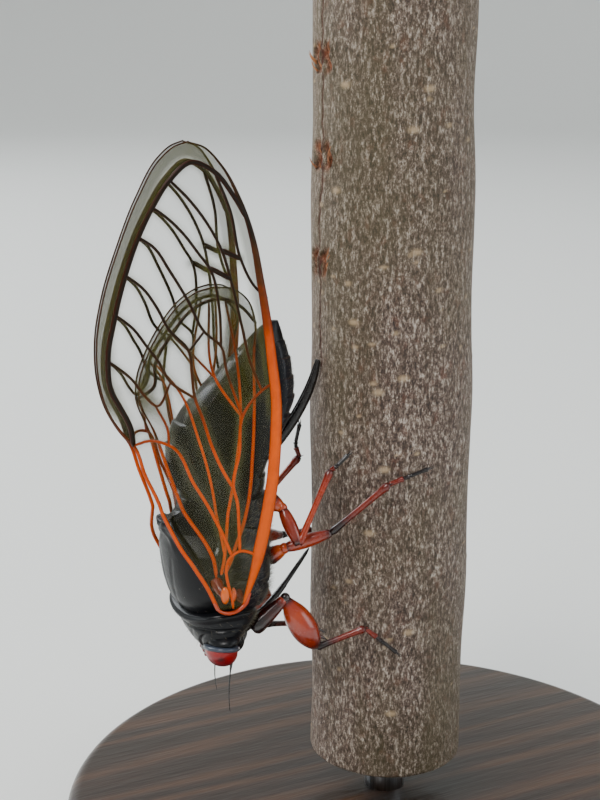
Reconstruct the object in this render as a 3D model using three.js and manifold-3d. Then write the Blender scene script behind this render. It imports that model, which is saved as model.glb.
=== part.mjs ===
// Periodical cicada laying eggs, head down on a cut twig that stands on a plain display base.
// Millimetres, +Z up, origin under the middle of the base. The insect is built in its own frame:
// x towards the head, y to its left, z away from the bark; it clings to the -X side of the twig.
import * as THREE from 'three';
import { mergeVertices } from 'three/addons/utils/BufferGeometryUtils.js';
import Module from 'manifold-3d';

const wasm = await Module();
wasm.setup();

const GAP = 0.3;                 // clearance between neighbouring parts
const TWIG_R = 5.6;              // twig radius beside the insect
const MID = 34;                  // height of the insect frame's origin above the table
const TWIG_LOW = 7.2, TWIG_TOP = 65;
const BASE_R = 24, BASE_H = 4, ROD_R = 1.5;
const MEMBRANE = 0.25, RIDGE = 0.38, RIDGE_HIND = 0.32;   // half thicknesses of the wings
const SINK = 1.15, ROOM = 1.95;  // hindwing and body below the forewing's middle surface

const model = new THREE.Group();
model.name = 'periodical_cicada';

const skins = {
  cuticle: { color: 0x15161a, roughness: 0.35, metalness: 0.0 },
  eye: { color: 0xb01408, roughness: 0.12, metalness: 0.0 },
  leg_orange: { color: 0xb4480f, roughness: 0.3, metalness: 0.0 },
  leg_dark: { color: 0x3a0f08, roughness: 0.3, metalness: 0.0 },
  wing: { color: 0x8a7440, roughness: 0.2, metalness: 0.0 },
  bark: { color: 0x6b5440, roughness: 0.85, metalness: 0.0 },
  stand: { color: 0x2b2b2d, roughness: 0.5, metalness: 0.0 },
};
for (const key of Object.keys(skins)) {
  skins[key] = new THREE.MeshStandardMaterial(skins[key]);
  skins[key].name = key;
}

const toWorld = new THREE.Matrix4().set(0, 0, -1, -TWIG_R, 0, -1, 0, 0, -1, 0, 0, MID, 0, 0, 0, 1);

function addPart(name, geometry, skin, placed = false) {
  if (!placed) geometry.applyMatrix4(toWorld);
  geometry.computeVertexNormals();
  const mesh = new THREE.Mesh(geometry, skins[skin]);
  mesh.name = name;
  model.add(mesh);
  return mesh;
}

const V = (x, y, z) => new THREE.Vector3(x, y, z);
const lerp = (a, b, t) => a + (b - a) * t;

// Linear reading of a table whose first column rises.
function read(rows, x, k) {
  if (x <= rows[0][0]) return rows[0][k];
  for (let i = 1; i < rows.length; i++) {
    if (x <= rows[i][0]) {
      const a = rows[i - 1], b = rows[i];
      return lerp(a[k], b[k], (x - a[0]) / (b[0] - a[0]));
    }
  }
  return rows[rows.length - 1][k];
}

// Closed skin over a row of rings of equal count, each end closed by a fan.
function loft(rings) {
  const n = rings[0].length, verts = [], tris = [];
  for (const ring of rings) for (const p of ring) verts.push(p);
  const mean = (ring) => ring.reduce((s, p) => s.add(p), V(0, 0, 0)).multiplyScalar(1 / n);
  const a = verts.push(mean(rings[0])) - 1, b = verts.push(mean(rings[rings.length - 1])) - 1;
  for (let r = 0; r + 1 < rings.length; r++) {
    for (let i = 0; i < n; i++) {
      const j = (i + 1) % n, p = r * n, q = p + n;
      tris.push(p + i, p + j, q + j, p + i, q + j, q + i);
    }
  }
  const last = (rings.length - 1) * n;
  for (let i = 0; i < n; i++) {
    const j = (i + 1) % n;
    tris.push(a, j, i, b, last + i, last + j);
  }
  return outward(verts, tris);
}

// Buffer geometry whose faces point out whatever the order the points came in.
function outward(verts, tris) {
  let volume = 0;
  for (let t = 0; t < tris.length; t += 3) {
    const [p, q, r] = [verts[tris[t]], verts[tris[t + 1]], verts[tris[t + 2]]];
    volume += p.dot(V(0, 0, 0).crossVectors(q, r));
  }
  if (volume < 0) {
    for (let t = 0; t < tris.length; t += 3) [tris[t], tris[t + 1]] = [tris[t + 1], tris[t]];
  }
  const geometry = new THREE.BufferGeometry();
  const flat = verts.flatMap((p) => [p.x, p.y, p.z]);
  geometry.setAttribute('position', new THREE.Float32BufferAttribute(flat, 3));
  geometry.setIndex(tris);
  return geometry;
}

// Round rod along a path; radii are given at each point of the path.
function rod(path, radii, sides = 10, flat = 1) {
  const rings = path.map((p, i) => {
    const u = path[Math.min(i + 1, path.length - 1)].clone()
      .sub(path[Math.max(i - 1, 0)]).normalize();
    const side = V(0, 1, 0).addScaledVector(u, -u.y);
    if (side.length() < 0.2) side.set(1, 0, 0).addScaledVector(u, -u.x);
    side.normalize();
    const up = V(0, 0, 0).crossVectors(u, side);
    return Array.from({ length: sides }, (_, k) => {
      const a = (2 * Math.PI * k) / sides;
      return p.clone().addScaledVector(side, radii[i] * flat * Math.cos(a))
        .addScaledVector(up, radii[i] * Math.sin(a));
    });
  });
  return loft(rings);
}

function fuse(list) {
  const solids = list.map((geometry) => {
    const g = geometry.clone();
    g.deleteAttribute('normal');
    g.deleteAttribute('uv');
    const m = mergeVertices(g, 1e-4);
    return new wasm.Manifold(new wasm.Mesh({
      numProp: 3,
      vertProperties: Float32Array.from(m.attributes.position.array),
      triVerts: Uint32Array.from(m.index.array),
    }));
  });
  const out = solids.reduce((a, b) => a.add(b)).getMesh();
  const geometry = new THREE.BufferGeometry();
  const flat = Float32Array.from(out.vertProperties);
  geometry.setAttribute('position', new THREE.BufferAttribute(flat, 3));
  geometry.setIndex(new THREE.BufferAttribute(Uint32Array.from(out.triVerts), 1));
  return geometry;
}

// The forewing's middle surface: costal edge (z, y) and dorsal edge (z, y) along x, bulged between.
const WING = [
  [-18.8, 9.3, 0.7, 10.6, 0.6], [-17.3, 7.7, 0.95, 12.1, 0.53], [-15, 6.54, 1.3, 13.4, 0.52],
  [-12.4, 5.77, 1.75, 14.6, 0.52], [-9.8, 5.38, 2.1, 15.6, 0.52], [-7.2, 5.08, 2.5, 16.3, 0.52],
  [-4.6, 4.94, 3.0, 16.35, 0.52], [-2, 4.94, 3.65, 15.85, 0.52], [0.6, 5.25, 4.25, 14.3, 0.52],
  [3, 5.7, 4.7, 13.4, 0.55], [5.5, 6.15, 4.75, 12.4, 0.85], [7, 6.5, 4.65, 12, 2.1],
  [8.5, 6.8, 4.5, 11.4, 3.3], [11.7, 7.8, 4, 9.9, 4],
];
function wingY(x, z) {
  const low = read(WING, x, 1), high = read(WING, x, 3);
  const s = Math.min(1, Math.max(0, (z - low) / Math.max(high - low, 0.3)));
  const bulge = 1.3 * Math.sin(Math.PI * s) * Math.exp(-(((x - 2) / 7.5) ** 2));
  return lerp(read(WING, x, 2), read(WING, x, 4), s) + bulge;
}

// Body ring: superellipse of half width w between z = low and top, swept back at the sides by
// sweep * y * y and kept under the folded wings.
const SIDES = 30;
function bodyRing([x0, w, low, top, sweep = 0], room = ROOM) {
  const mid = (low + top) / 2, high = (top - low) / 2, bend = 2 / 2.3;
  return Array.from({ length: SIDES }, (_, k) => {
    const a = (2 * Math.PI * (k + 0.5)) / SIDES, c = Math.cos(a), s = Math.sin(a);
    const z = mid + high * Math.sign(s) * Math.abs(s) ** bend;
    let y = w * Math.abs(c) ** bend * Math.sign(c);
    if (x0 < 12) {
      const limit = Math.max(wingY(x0, z) - room, 0.35);
      if (z > read(WING, x0, 1) - 1 && Math.abs(y) > limit) y = limit * Math.sign(y);
    }
    return V(x0 - sweep * y * y, y, z);
  });
}

// The head is rolled a little to its right, the prothorax following it.
const HEAD_ROLL = 10 * Math.PI / 180, NECK_Z = 8.62;
function turned(geometry) {
  const p = geometry.attributes.position;
  for (let i = 0; i < p.count; i++) {
    const t = Math.min(1, Math.max(0, (p.getX(i) - 12.9) / 1.9));
    const a = HEAD_ROLL * t * t * (3 - 2 * t), y = p.getY(i), z = p.getZ(i) - NECK_Z;
    p.setY(i, y * Math.cos(a) - z * Math.sin(a));
    p.setZ(i, NECK_Z + y * Math.sin(a) + z * Math.cos(a));
  }
  return geometry;
}

// Head: rounded vertex and swollen face between the eyes.
addPart('head', turned(loft([
  [15.95, 2.45, 6.4, 9.75, 0.2], [16.3, 2.4, 6.2, 9.7, 0.16], [16.75, 2.15, 6.1, 9.3, 0.12],
  [17.1, 1.6, 6.25, 8.7, 0.1], [17.35, 0.9, 6.7, 8.0, 0.1],
].map((s) => bodyRing(s)))), 'cuticle');

// Eyes: domes on flat faces either side of the head.
const EYE_R = 1.13, EYE_H = 1.7;
for (const side of [1, -1]) {
  const dome = [[0, 0], [EYE_R * 0.97, 0]];
  for (let i = 0; i <= 8; i++) {
    const a = (i / 8) * Math.PI / 2;
    dome.push([EYE_R * Math.cos(a) ** 0.85, 0.5 + (EYE_H - 0.5) * Math.sin(a)]);
  }
  dome[dome.length - 1][0] = 0;
  const eye = new THREE.LatheGeometry(dome.map(([r, h]) => new THREE.Vector2(r, h)), 22);
  eye.scale(side, side, 1);
  eye.translate(15.42, side * 2.72, 8.62);
  addPart(side > 0 ? 'eye_left' : 'eye_right', turned(clean(eye)), 'eye');
}

function clean(geometry) {
  geometry.deleteAttribute('normal');
  geometry.deleteAttribute('uv');
  const g = mergeVertices(geometry, 1e-4), keep = [];
  const ids = g.index.array;
  for (let t = 0; t < ids.length; t += 3) {
    const [a, b, c] = [ids[t], ids[t + 1], ids[t + 2]];
    if (a !== b && b !== c && a !== c) keep.push(a, b, c);
  }
  g.setIndex(keep);
  return g;
}

// Antennae: a thick base joint and a fine bristle.
for (const side of [1, -1]) {
  const path = [0, 0.12, 0.2, 0.5, 0.8, 1].map((t) =>
    V(17.2 + 3.1 * t, side * (1.7 + 0.3 * Math.sin(2.6 * t)), 7.6 + 0.3 * Math.sin(2.4 * t)));
  const antenna = rod(path, [0.27, 0.28, 0.26, 0.2, 0.14, 0.08], 8);
  addPart(side > 0 ? 'antenna_left' : 'antenna_right', turned(antenna), 'cuticle');
}

// Rostrum: the sucking beak, folded back under the head to the bark.
addPart('rostrum', rod(
  [V(15.9, 0, 5.7), V(14.9, 0, 5.3), V(13.4, -0.6, 3.9), V(11.7, -1.6, 1.9), V(10.4, -2.3, 0.45)],
  [0.42, 0.4, 0.32, 0.27, 0.2], 8), 'cuticle');

// Pronotum and its collar.
addPart('pronotum', turned(loft([
  [12.98, 3.85, 6.0, 11.0, 0.044], [13.15, 3.95, 5.9, 11.1, 0.05], [13.6, 3.8, 5.9, 10.8, 0.08],
  [14.6, 3.5, 6.1, 10.3, 0.14], [15.55, 3.1, 6.5, 9.65, 0.2],
].map((s) => bodyRing(s)))), 'cuticle');

// Mesothorax and metathorax, with the raised cross at the back.
addPart('thorax', loft([
  [12.6, 3.2, 5.0, 11.0, 0.044], [12.2, 3.3, 4.8, 11.5, 0.04], [11, 3.5, 4.6, 12.0],
  [9.6, 3.6, 4.6, 12.2], [8.2, 3.5, 4.6, 12.25], [7.4, 3.3, 4.6, 12.1], [6.8, 3.2, 4.6, 12.35],
  [6.3, 3.1, 4.6, 12.3], [5.9, 3.0, 4.65, 11.2], [4.95, 2.95, 4.75, 10.8],
].map((s) => bodyRing(s, s[0] > 8.4 ? 1.05 : ROOM))), 'cuticle');

// Abdomen: stepped rings down to the pointed tip.
const BELLY = [
  [-6.6, 0.3, 3.35, 4.1], [-6.1, 0.6, 3.2, 4.8], [-5.3, 1.0, 2.95, 5.7], [-4.2, 1.55, 2.6, 6.9],
  [-2.9, 2.1, 2.4, 8.3], [-1.6, 2.55, 2.35, 9.75], [-0.3, 2.9, 2.75, 10.9], [1, 3.2, 3.45, 11.5],
  [2.3, 3.35, 4.45, 11.7], [3.5, 3.3, 4.8, 11.5], [4.65, 3.0, 4.8, 10.8],
];
const belly = [];
for (let i = BELLY.length - 1; i >= 0; i--) {
  const [x, w, low, top] = BELLY[i];
  belly.push(bodyRing([x, w, low, top]));
  if (i > 1 && i < BELLY.length - 1) {
    const x2 = x - 0.14;
    const [w2, low2, top2] = [1, 2, 3].map((k) => read(BELLY, x2, k));
    belly.push(bodyRing([x2, w2 * 0.965, low2 + 0.08, top2 - 0.12]));
  }
}
addPart('abdomen', loft(belly), 'cuticle');

// Ovipositor: the curved blade swung down into the twig.
const blade = [0, 0.12, 0.3, 0.5, 0.7, 0.86, 0.94].map((t) =>
  V(lerp(2.6, -3.55, t), 0, 4.05 - 6.3 * t + 2.5 * t * t));
addPart('ovipositor', rod(blade, [0.3, 0.36, 0.36, 0.34, 0.3, 0.25, 0.12], 8, 0.8), 'cuticle');

// Wings. Junctions are (x, z); veins are rows of junctions with a half width, and every field they
// enclose becomes a thinner pane of membrane, so the veins stand proud on both faces.
const FORE = {
  rim: [
    ['costa', 0.75, [[11.7, 7.9], [8.55, 6.82], [5.8, 6.2], [3.1, 5.7], [0.5, 5.25], [-2, 4.94],
      [-3.3, 4.94], [-4.6, 4.94], [-7.2, 5.08], [-8.6, 5.22]]],
    ['costa_tip', 0.4, [[-8.6, 5.22], [-9.8, 5.38], [-12.4, 5.77], [-13.9, 6.15]]],
    ['edge', 0.14, [[-13.9, 6.15], [-15, 6.54], [-17.25, 7.7], [-18.5, 8.9], [-18.8, 9.84],
      [-18.5, 10.8], [-17.8, 11.7], [-15.4, 13.26], [-12.2, 14.7], [-9.1, 15.8], [-6.2, 16.35],
      [-3.6, 16.25], [-1.9, 15.8], [-0.2, 14.85], [0.75, 14.1]]],
    ['anal', 0.4, [[0.75, 14.1], [2.8, 13.4], [5.1, 12.5], [6.3, 12.2], [7.5, 11.85],
      [8.8, 11.2], [10.2, 10.45], [11.7, 9.85]]],
    ['root', 0.4, [[11.7, 9.85], [11.7, 8.85], [11.7, 7.9]]],
  ],
  veins: [
    [0.2, [[-13.9, 6.15], [-15.3, 7.1], [-16.84, 8.26], [-17.5, 9.7], [-16.4, 11.2],
      [-14.73, 12.39], [-12.89, 13.39], [-10.54, 14.34], [-8.04, 15.11], [-5.11, 15.7],
      [-3.1, 15.55], [-2.1, 15.1], [-0.6, 14.4], [0.75, 14.1]]],
    [0.24, [[11.7, 8.85], [7.92, 8.99], [7.63, 8.45], [7.78, 7.83], [8.55, 6.82]]],
    [0.18, [[7.63, 8.45], [4.16, 8.52], [3.39, 8.71], [1, 8.2], [-1.22, 7.76], [-2.73, 6.23],
      [-3.3, 4.94]]],
    [0.18, [[-1.22, 7.76], [-4.25, 8.45], [-5.71, 8.61], [-6.73, 9.63], [-8.62, 10.44],
      [-10.78, 11.58], [-12.22, 12.46], [-12.89, 13.39]]],
    [0.18, [[-5.71, 8.61], [-8.1, 8.5], [-10.78, 8.96], [-11.7, 9.6], [-12.95, 10.47],
      [-13.94, 11.39], [-14.73, 12.39]]],
    [0.18, [[-2.73, 6.23], [-4.75, 6.8], [-7.01, 7.11], [-10, 7.61], [-11.88, 8.09],
      [-13.38, 8.8], [-15.14, 10.01], [-16.4, 11.2]]],
    [0.18, [[-8.6, 5.22], [-9.32, 5.96], [-11.24, 6.86], [-14.3, 7.35], [-16.84, 8.26]]],
    [0.22, [[-11.24, 6.86], [-11.88, 8.09]]],
    [0.22, [[-10, 7.61], [-10.78, 8.96]]],
    [0.18, [[3.39, 8.71], [2.2, 9.3], [0.43, 9.91], [-1.2, 10.3], [-2.56, 10.67], [-4, 10.7],
      [-5.53, 10.73], [-6.99, 11.87], [-8.42, 12.52], [-9.6, 13.26], [-10.54, 14.34]]],
    [0.18, [[-5.53, 10.73], [-6.73, 9.63]]],
    [0.18, [[-2.56, 10.67], [-3.64, 12.05], [-5.1, 12.75], [-5.98, 13.33], [-7.1, 14.06],
      [-8.04, 15.11]]],
    [0.18, [[-3.64, 12.05], [-2.12, 13.05], [-2.6, 13.5], [-3.9, 14.37], [-5.11, 15.7]]],
    [0.18, [[-2.12, 13.05], [-0.44, 12.35], [0.54, 12.28]]],
    [0.2, [[7.92, 8.99], [5.24, 9.87], [3.17, 10.9], [0.54, 12.28], [0.3, 13.3], [0.75, 14.1]]],
  ],
};
const HIND = {
  rim: [
    ['costa', 0.35, [[8.2, 8.3], [6, 7.45], [2, 6.8], [-2, 6.2], [-5, 5.85], [-6.8, 5.6]]],
    ['edge', 0.14, [[-6.8, 5.6], [-8.5, 6.1], [-9.2, 7], [-9.35, 8], [-9.1, 9.3], [-8.5, 10.4],
      [-6.86, 11.9], [-5.2, 12.9], [-3.7, 13.5], [-2.4, 13.6], [0, 12.7]]],
    ['anal', 0.2, [[0, 12.7], [3, 11.8], [5.5, 11], [8.2, 9.8]]],
    ['root', 0.3, [[8.2, 9.8], [8.2, 9], [8.2, 8.3]]],
  ],
  veins: [
    [0.2, [[-6.8, 5.6], [-8, 6.6], [-8.5, 7.6], [-8.45, 8.7], [-7.9, 9.9], [-6.4, 11.3],
      [-4.6, 12.5], [-3.1, 12.7], [-2.4, 13.6]]],
    [0.18, [[8.2, 9], [3, 8.2], [-1, 7.4], [-4.6, 7.2], [-8.5, 7.6]]],
    [0.18, [[-1, 7.4], [-3.5, 8.8], [-8.45, 8.7]]],
    [0.18, [[-3.5, 8.8], [-5.2, 10.2], [-6.4, 11.3]]],
    [0.18, [[8.2, 9], [4, 9.5], [0.5, 10.2], [-3, 11.3], [-4.6, 12.5]]],
  ],
};

// Fills an outline with triangles and halves its long inner edges, so that the filling can bend.
function fill(outline, longest = 2.7) {
  const pts = outline.map(([x, z]) => [x, z]);
  const tris = THREE.ShapeUtils.triangulateShape(pts.map((p) => new THREE.Vector2(...p)), []);
  for (let round = 0; round < 80; round++) {
    const seen = new Map();
    let worst = null, size = longest;
    tris.forEach((t, i) => t.forEach((a, k) => {
      const b = t[(k + 1) % 3], key = Math.min(a, b) + '_' + Math.max(a, b);
      if (!seen.has(key)) { seen.set(key, i); return; }
      const l = Math.hypot(pts[a][0] - pts[b][0], pts[a][1] - pts[b][1]);
      const mid = [0, 1].map((c) => (pts[a][c] + pts[b][c]) / 2);
      const free = pts.every((p) => Math.hypot(p[0] - mid[0], p[1] - mid[1]) > 0.3);
      if (l > size && free) { size = l; worst = [seen.get(key), i, a, b]; }
    }));
    if (!worst) break;
    const [t1, t2, a, b] = worst;
    const m = pts.push([(pts[a][0] + pts[b][0]) / 2, (pts[a][1] + pts[b][1]) / 2]) - 1;
    for (const t of [t1, t2]) {
      const old = tris[t];
      tris[t] = old.map((v) => (v === a ? m : v));
      tris.push(old.map((v) => (v === b ? m : v)));
    }
  }
  return { pts, tris };
}

function wing(plan, side, sink, ridge) {
  const nodes = [], ids = new Map(), next = [], width = new Map(), rimLoop = [];
  const idOf = ([x, z]) => {
    const key = x.toFixed(2) + ',' + z.toFixed(2);
    if (!ids.has(key)) { ids.set(key, nodes.push([x, z]) - 1); next.push(new Set()); }
    return ids.get(key);
  };
  const join = (a, b, w) => {
    next[a].add(b); next[b].add(a);
    width.set(a + '>' + b, w); width.set(b + '>' + a, w);
  };
  // Long steps get a middle junction on a smooth curve through their neighbours.
  const halve = (row) => row.flatMap((p, i) => {
    const q = row[i + 1];
    if (!q || Math.hypot(q[0] - p[0], q[1] - p[1]) < 2.2) return [p];
    const o = row[i - 1] || p, r = row[i + 2] || q;
    return [p, [0, 1].map((k) => (9 * (p[k] + q[k]) - o[k] - r[k]) / 16)];
  });
  for (const [, w, coarse] of plan.rim) {
    const row = halve(coarse);
    for (let i = 0; i + 1 < row.length; i++) {
      join(idOf(row[i]), idOf(row[i + 1]), w);
      rimLoop.push(idOf(row[i]));
    }
  }
  for (const [w, coarse] of plan.veins) {
    const row = halve(coarse);
    for (let i = 0; i + 1 < row.length; i++) join(idOf(row[i]), idOf(row[i + 1]), w);
  }
  // Walk every field of the net by always turning to the nearest branch.
  const bearing = (a, b) => Math.atan2(nodes[b][1] - nodes[a][1], nodes[b][0] - nodes[a][0]);
  const used = new Set(), fields = [];
  for (let a = 0; a < nodes.length; a++) for (const b of next[a]) {
    if (used.has(a + '>' + b)) continue;
    const loop = [];
    let p = a, q = b;
    while (!used.has(p + '>' + q)) {
      used.add(p + '>' + q);
      loop.push(p);
      const back = bearing(q, p);
      let best = null, least = 99;
      for (const r of next[q]) {
        if (r === p && next[q].size > 1) continue;
        const turn = ((back - bearing(q, r)) % (2 * Math.PI) + 2 * Math.PI) % (2 * Math.PI) || 7;
        if (turn < least) { least = turn; best = r; }
      }
      [p, q] = [q, best];
    }
    let area = 0;
    loop.forEach((id, i) => {
      const [x1, z1] = nodes[id], [x2, z2] = nodes[loop[(i + 1) % loop.length]];
      area += x1 * z2 - x2 * z1;
    });
    if (area > 0.1) fields.push(loop);
  }
  // Draw each field in by the half width of the vein along each of its sides.
  const panes = fields.map((loop) => {
    const n = loop.length;
    const lines = loop.map((id, i) => {
      const to = loop[(i + 1) % n], w = width.get(id + '>' + to);
      const [x1, z1] = nodes[id], [x2, z2] = nodes[to];
      const l = Math.hypot(x2 - x1, z2 - z1), dx = (x2 - x1) / l, dz = (z2 - z1) / l;
      return { x: x1 - dz * w, z: z1 + dx * w, dx, dz, w };
    });
    return loop.map((id, i) => {
      const f = lines[(i + n - 1) % n], g = lines[i];
      const cross = f.dx * g.dz - f.dz * g.dx;
      if (Math.abs(cross) < 0.25) {
        const w = (f.w + g.w) / 2, nx = -(f.dz + g.dz) / 2, nz = (f.dx + g.dx) / 2;
        return [nodes[id][0] + nx * w, nodes[id][1] + nz * w];
      }
      const t = ((g.x - f.x) * g.dz - (g.z - f.z) * g.dx) / cross;
      const hit = [f.x + f.dx * t, f.z + f.dz * t];
      const far = Math.hypot(hit[0] - nodes[id][0], hit[1] - nodes[id][1]);
      const k = Math.min(1, 2.2 * Math.max(f.w, g.w) / far);
      return [lerp(nodes[id][0], hit[0], k), lerp(nodes[id][1], hit[1], k)];
    });
  }).filter((pane) => {
    const a = THREE.ShapeUtils.area(pane.map(([x, z]) => new THREE.Vector2(x, z)));
    return Math.abs(a) > 0.25;
  });
  const verts = [], tris = [];
  const put = ([x, z], lift) => verts.push(V(x, side * (wingY(x, z) - sink + lift), z)) - 1;
  const flat = (list) => list.map(([x, z]) => new THREE.Vector2(x, z));
  const rim = rimLoop.map((id) => nodes[id]);
  const faces = [], filled = panes.map((pane) => fill(pane));
  for (const up of [1, -1]) {
    const ring = rim.map((p) => put(p, up * ridge));
    const tops = panes.map((pane) => pane.map((p) => put(p, up * ridge)));
    const floors = filled.map(({ pts }) => pts.map((p) => put(p, up * MEMBRANE)));
    faces.push(ring);
    const turn = (a, b, c) => (up > 0 ? tris.push(a, b, c) : tris.push(a, c, b));
    const all = [...ring, ...tops.flat()];
    const net = THREE.ShapeUtils.triangulateShape(flat(rim), panes.map(flat));
    for (const [a, b, c] of net) turn(all[a], all[b], all[c]);
    panes.forEach((pane, i) => {
      for (const [a, b, c] of filled[i].tris) turn(floors[i][a], floors[i][b], floors[i][c]);
      pane.forEach((_, j) => {
        const k = (j + 1) % pane.length;
        turn(tops[i][j], floors[i][k], floors[i][j]);
        turn(tops[i][j], tops[i][k], floors[i][k]);
      });
    });
  }
  rim.forEach((_, i) => {
    const j = (i + 1) % rim.length, [up, down] = faces;
    tris.push(up[i], up[j], down[j], up[i], down[j], down[i]);
  });
  return outward(verts, tris);
}
addPart('forewing_left', wing(FORE, 1, 0, RIDGE), 'wing');
addPart('forewing_right', wing(FORE, -1, 0, RIDGE), 'wing');
addPart('hindwing_left', wing(HIND, 1, SINK, RIDGE_HIND), 'wing');
addPart('hindwing_right', wing(HIND, -1, SINK, RIDGE_HIND), 'wing');

// Legs: coxa, femur, tibia and tarsus on straight lines between joints, ends drawn in at the bends.
const JOINT_R = 0.24;
function legPart(a, b, before, after, swell, thick, sides) {
  const u = b.clone().sub(a).normalize();
  const inset = (other) => {
    if (!other) return 0;
    const half = Math.min(u.angleTo(other) / 2, 1.1);
    return JOINT_R * Math.tan(half) + (0.6 * GAP) / Math.cos(half);
  };
  const p = a.clone().addScaledVector(u, inset(before));
  const q = b.clone().addScaledVector(u, -inset(after));
  const steps = [0, 0.1, 0.3, 0.55, 0.8, 0.93, 1];
  const radii = steps.map((t, i) => {
    if (i === 0 || i === steps.length - 1) return JOINT_R;
    return thick + swell * Math.sin(Math.PI * Math.min(1, t * 1.05)) ** 1.5;
  });
  return rod(steps.map((t) => p.clone().lerp(q, t)), radii, sides);
}
const LEGS = {
  front: {
    left: [[13.6, 2.3, 5.45], [12.45, 2.5, 4.1], [16.1, 3.5, 2.15], [14.95, 4.5, -1.15],
      [16.7, 5.7, -3.05]],
    right: [[13.6, -2.3, 5.45], [12.45, -2.4, 4.1], [16.6, -3, 2.9], [17.9, -4.8, -0.9],
      [18.9, -5.85, -3.2]],
    swell: [0.15, 0.62, 0.08, 0], thick: [0.42, 0.34, 0.26, 0.24],
  },
  mid: {
    left: [[9.5, 1.6, 4.35], [8.84, 2.4, 4.1], [7.84, 3.58, 1.1], [4.23, 5.75, -2.2],
      [3.4, 6.2, -5.0]],
    right: [[9.5, -1.6, 4.35], [9.4, -2.4, 4.0], [10.2, -3.7, 1.3], [10.8, -5.3, -2.0],
      [11.1, -6.35, -4.9]],
    swell: [0.1, 0.2, 0.06, 0], thick: [0.36, 0.32, 0.25, 0.24],
  },
  hind: {
    left: [[5.3, 1.6, 4.3], [6.0, 2.2, 4.15], [7.75, 3.3, 4.15], null, [8.2, 3.8, 3.7],
      [3.45, 3.2, 0.95], [2.5, 3.4, -0.3]],
    right: [[5.3, -1.6, 4.3], [6.0, -2.2, 4.15], [7.4, -3, 3.95], null, [7.7, -3.5, 3.4],
      [4.2, -3, 0.15], [1.7, -2.75, 0.25]],
    swell: [0.05, 0.12, 0.06, 0], thick: [0.34, 0.32, 0.25, 0.24],
  },
};
const PIECES = ['coxa', 'femur', 'tibia', 'tarsus'];
for (const [where, plan] of Object.entries(LEGS)) {
  for (const hand of ['left', 'right']) {
    const at = plan[hand].map((j) => j && V(...j)), side = hand === 'left' ? 1 : -1;
    const line = (i) => (at[i] && at[i + 1] ? at[i + 1].clone().sub(at[i]) : null);
    let piece = 0;
    for (let i = 0; i + 1 < at.length; i++) {
      if (!line(i)) continue;
      const before = i > 0 ? line(i - 1) : null;
      const after = i + 2 < at.length ? line(i + 1) : null;
      const colour = piece < 2 ? 'leg_orange' : 'leg_dark';
      let body = legPart(at[i], at[i + 1], before, after, plan.swell[piece],
        plan.thick[piece], piece < 2 ? 12 : 8);
      if (where === 'front' && piece === 1) {
        const spine = (t, long) => {
          const foot = at[i].clone().lerp(at[i + 1], t);
          const tip = foot.clone().add(V(0.55, side * 0.35, -1).multiplyScalar(long));
          return rod([foot, foot.clone().lerp(tip, 0.6), tip], [0.4, 0.26, 0.08], 6);
        };
        body = fuse([body, spine(0.45, 1.2), spine(0.68, 1.05)]);
      }
      addPart(`leg_${where}_${PIECES[piece]}_${hand}`, body, colour);
      piece += 1;
    }
  }
}

// Twig: slightly tapered and uneven, with raised splinters round the egg slits.
const twigR = (z, a) => lerp(5.72, 5.5, Math.abs(z - MID + 3) / 30)
  + 0.07 * Math.sin(0.45 * z + 2 * a) + 0.06 * Math.sin(3 * a + 0.11 * z);
const twigRings = [];
for (let i = 0; i <= 20; i++) {
  const z = lerp(TWIG_LOW, TWIG_TOP, i / 20);
  const shrink = i === 0 || i === 20 ? 0.25 : 0;
  twigRings.push(Array.from({ length: 30 }, (_, k) => {
    const a = (2 * Math.PI * k) / 30, r = twigR(z, a) - shrink;
    return V(r * Math.cos(a), r * Math.sin(a), z);
  }));
}
const splinters = [];
for (const height of [10.3, 17.5, 23.9]) {
  for (const [y, low, long, out] of [[0.55, -0.9, 1.6, 0.5], [-0.5, -0.7, 1.4, 0.6],
    [0.15, -1.1, 1.2, 0.35]]) {
    const z = MID + height + low;
    splinters.push(rod([V(-TWIG_R + 0.5, y, z), V(-TWIG_R - 0.1, y * 1.1, z + long * 0.6),
      V(-TWIG_R - out, y * 1.3, z + long)], [0.42, 0.32, 0.1], 6));
  }
}
addPart('perch_twig', fuse([loft(twigRings), ...splinters]), 'bark', true);

// Stand: a flat turned base and one short rod up to the twig.
const profile = [[0, 0], [BASE_R - 0.4, 0], [BASE_R, 0.4], [BASE_R, BASE_H - 1],
  [BASE_R - 0.3, BASE_H - 0.3], [BASE_R - 1, BASE_H], [0, BASE_H]];
const base = new THREE.LatheGeometry(profile.map(([r, h]) => new THREE.Vector2(r, h)), 40);
base.rotateX(Math.PI / 2);
addPart('stand_base', clean(base), 'stand', true);
const rodBody = new THREE.CylinderGeometry(ROD_R, ROD_R, TWIG_LOW - BASE_H - 2 * GAP, 20);
rodBody.rotateX(Math.PI / 2);
rodBody.translate(0, 0, (TWIG_LOW + BASE_H) / 2);
addPart('stand_rod', clean(rodBody), 'stand', true);

export default model;
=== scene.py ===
import bpy
import numpy as np
from mathutils import Matrix, Vector


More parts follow.
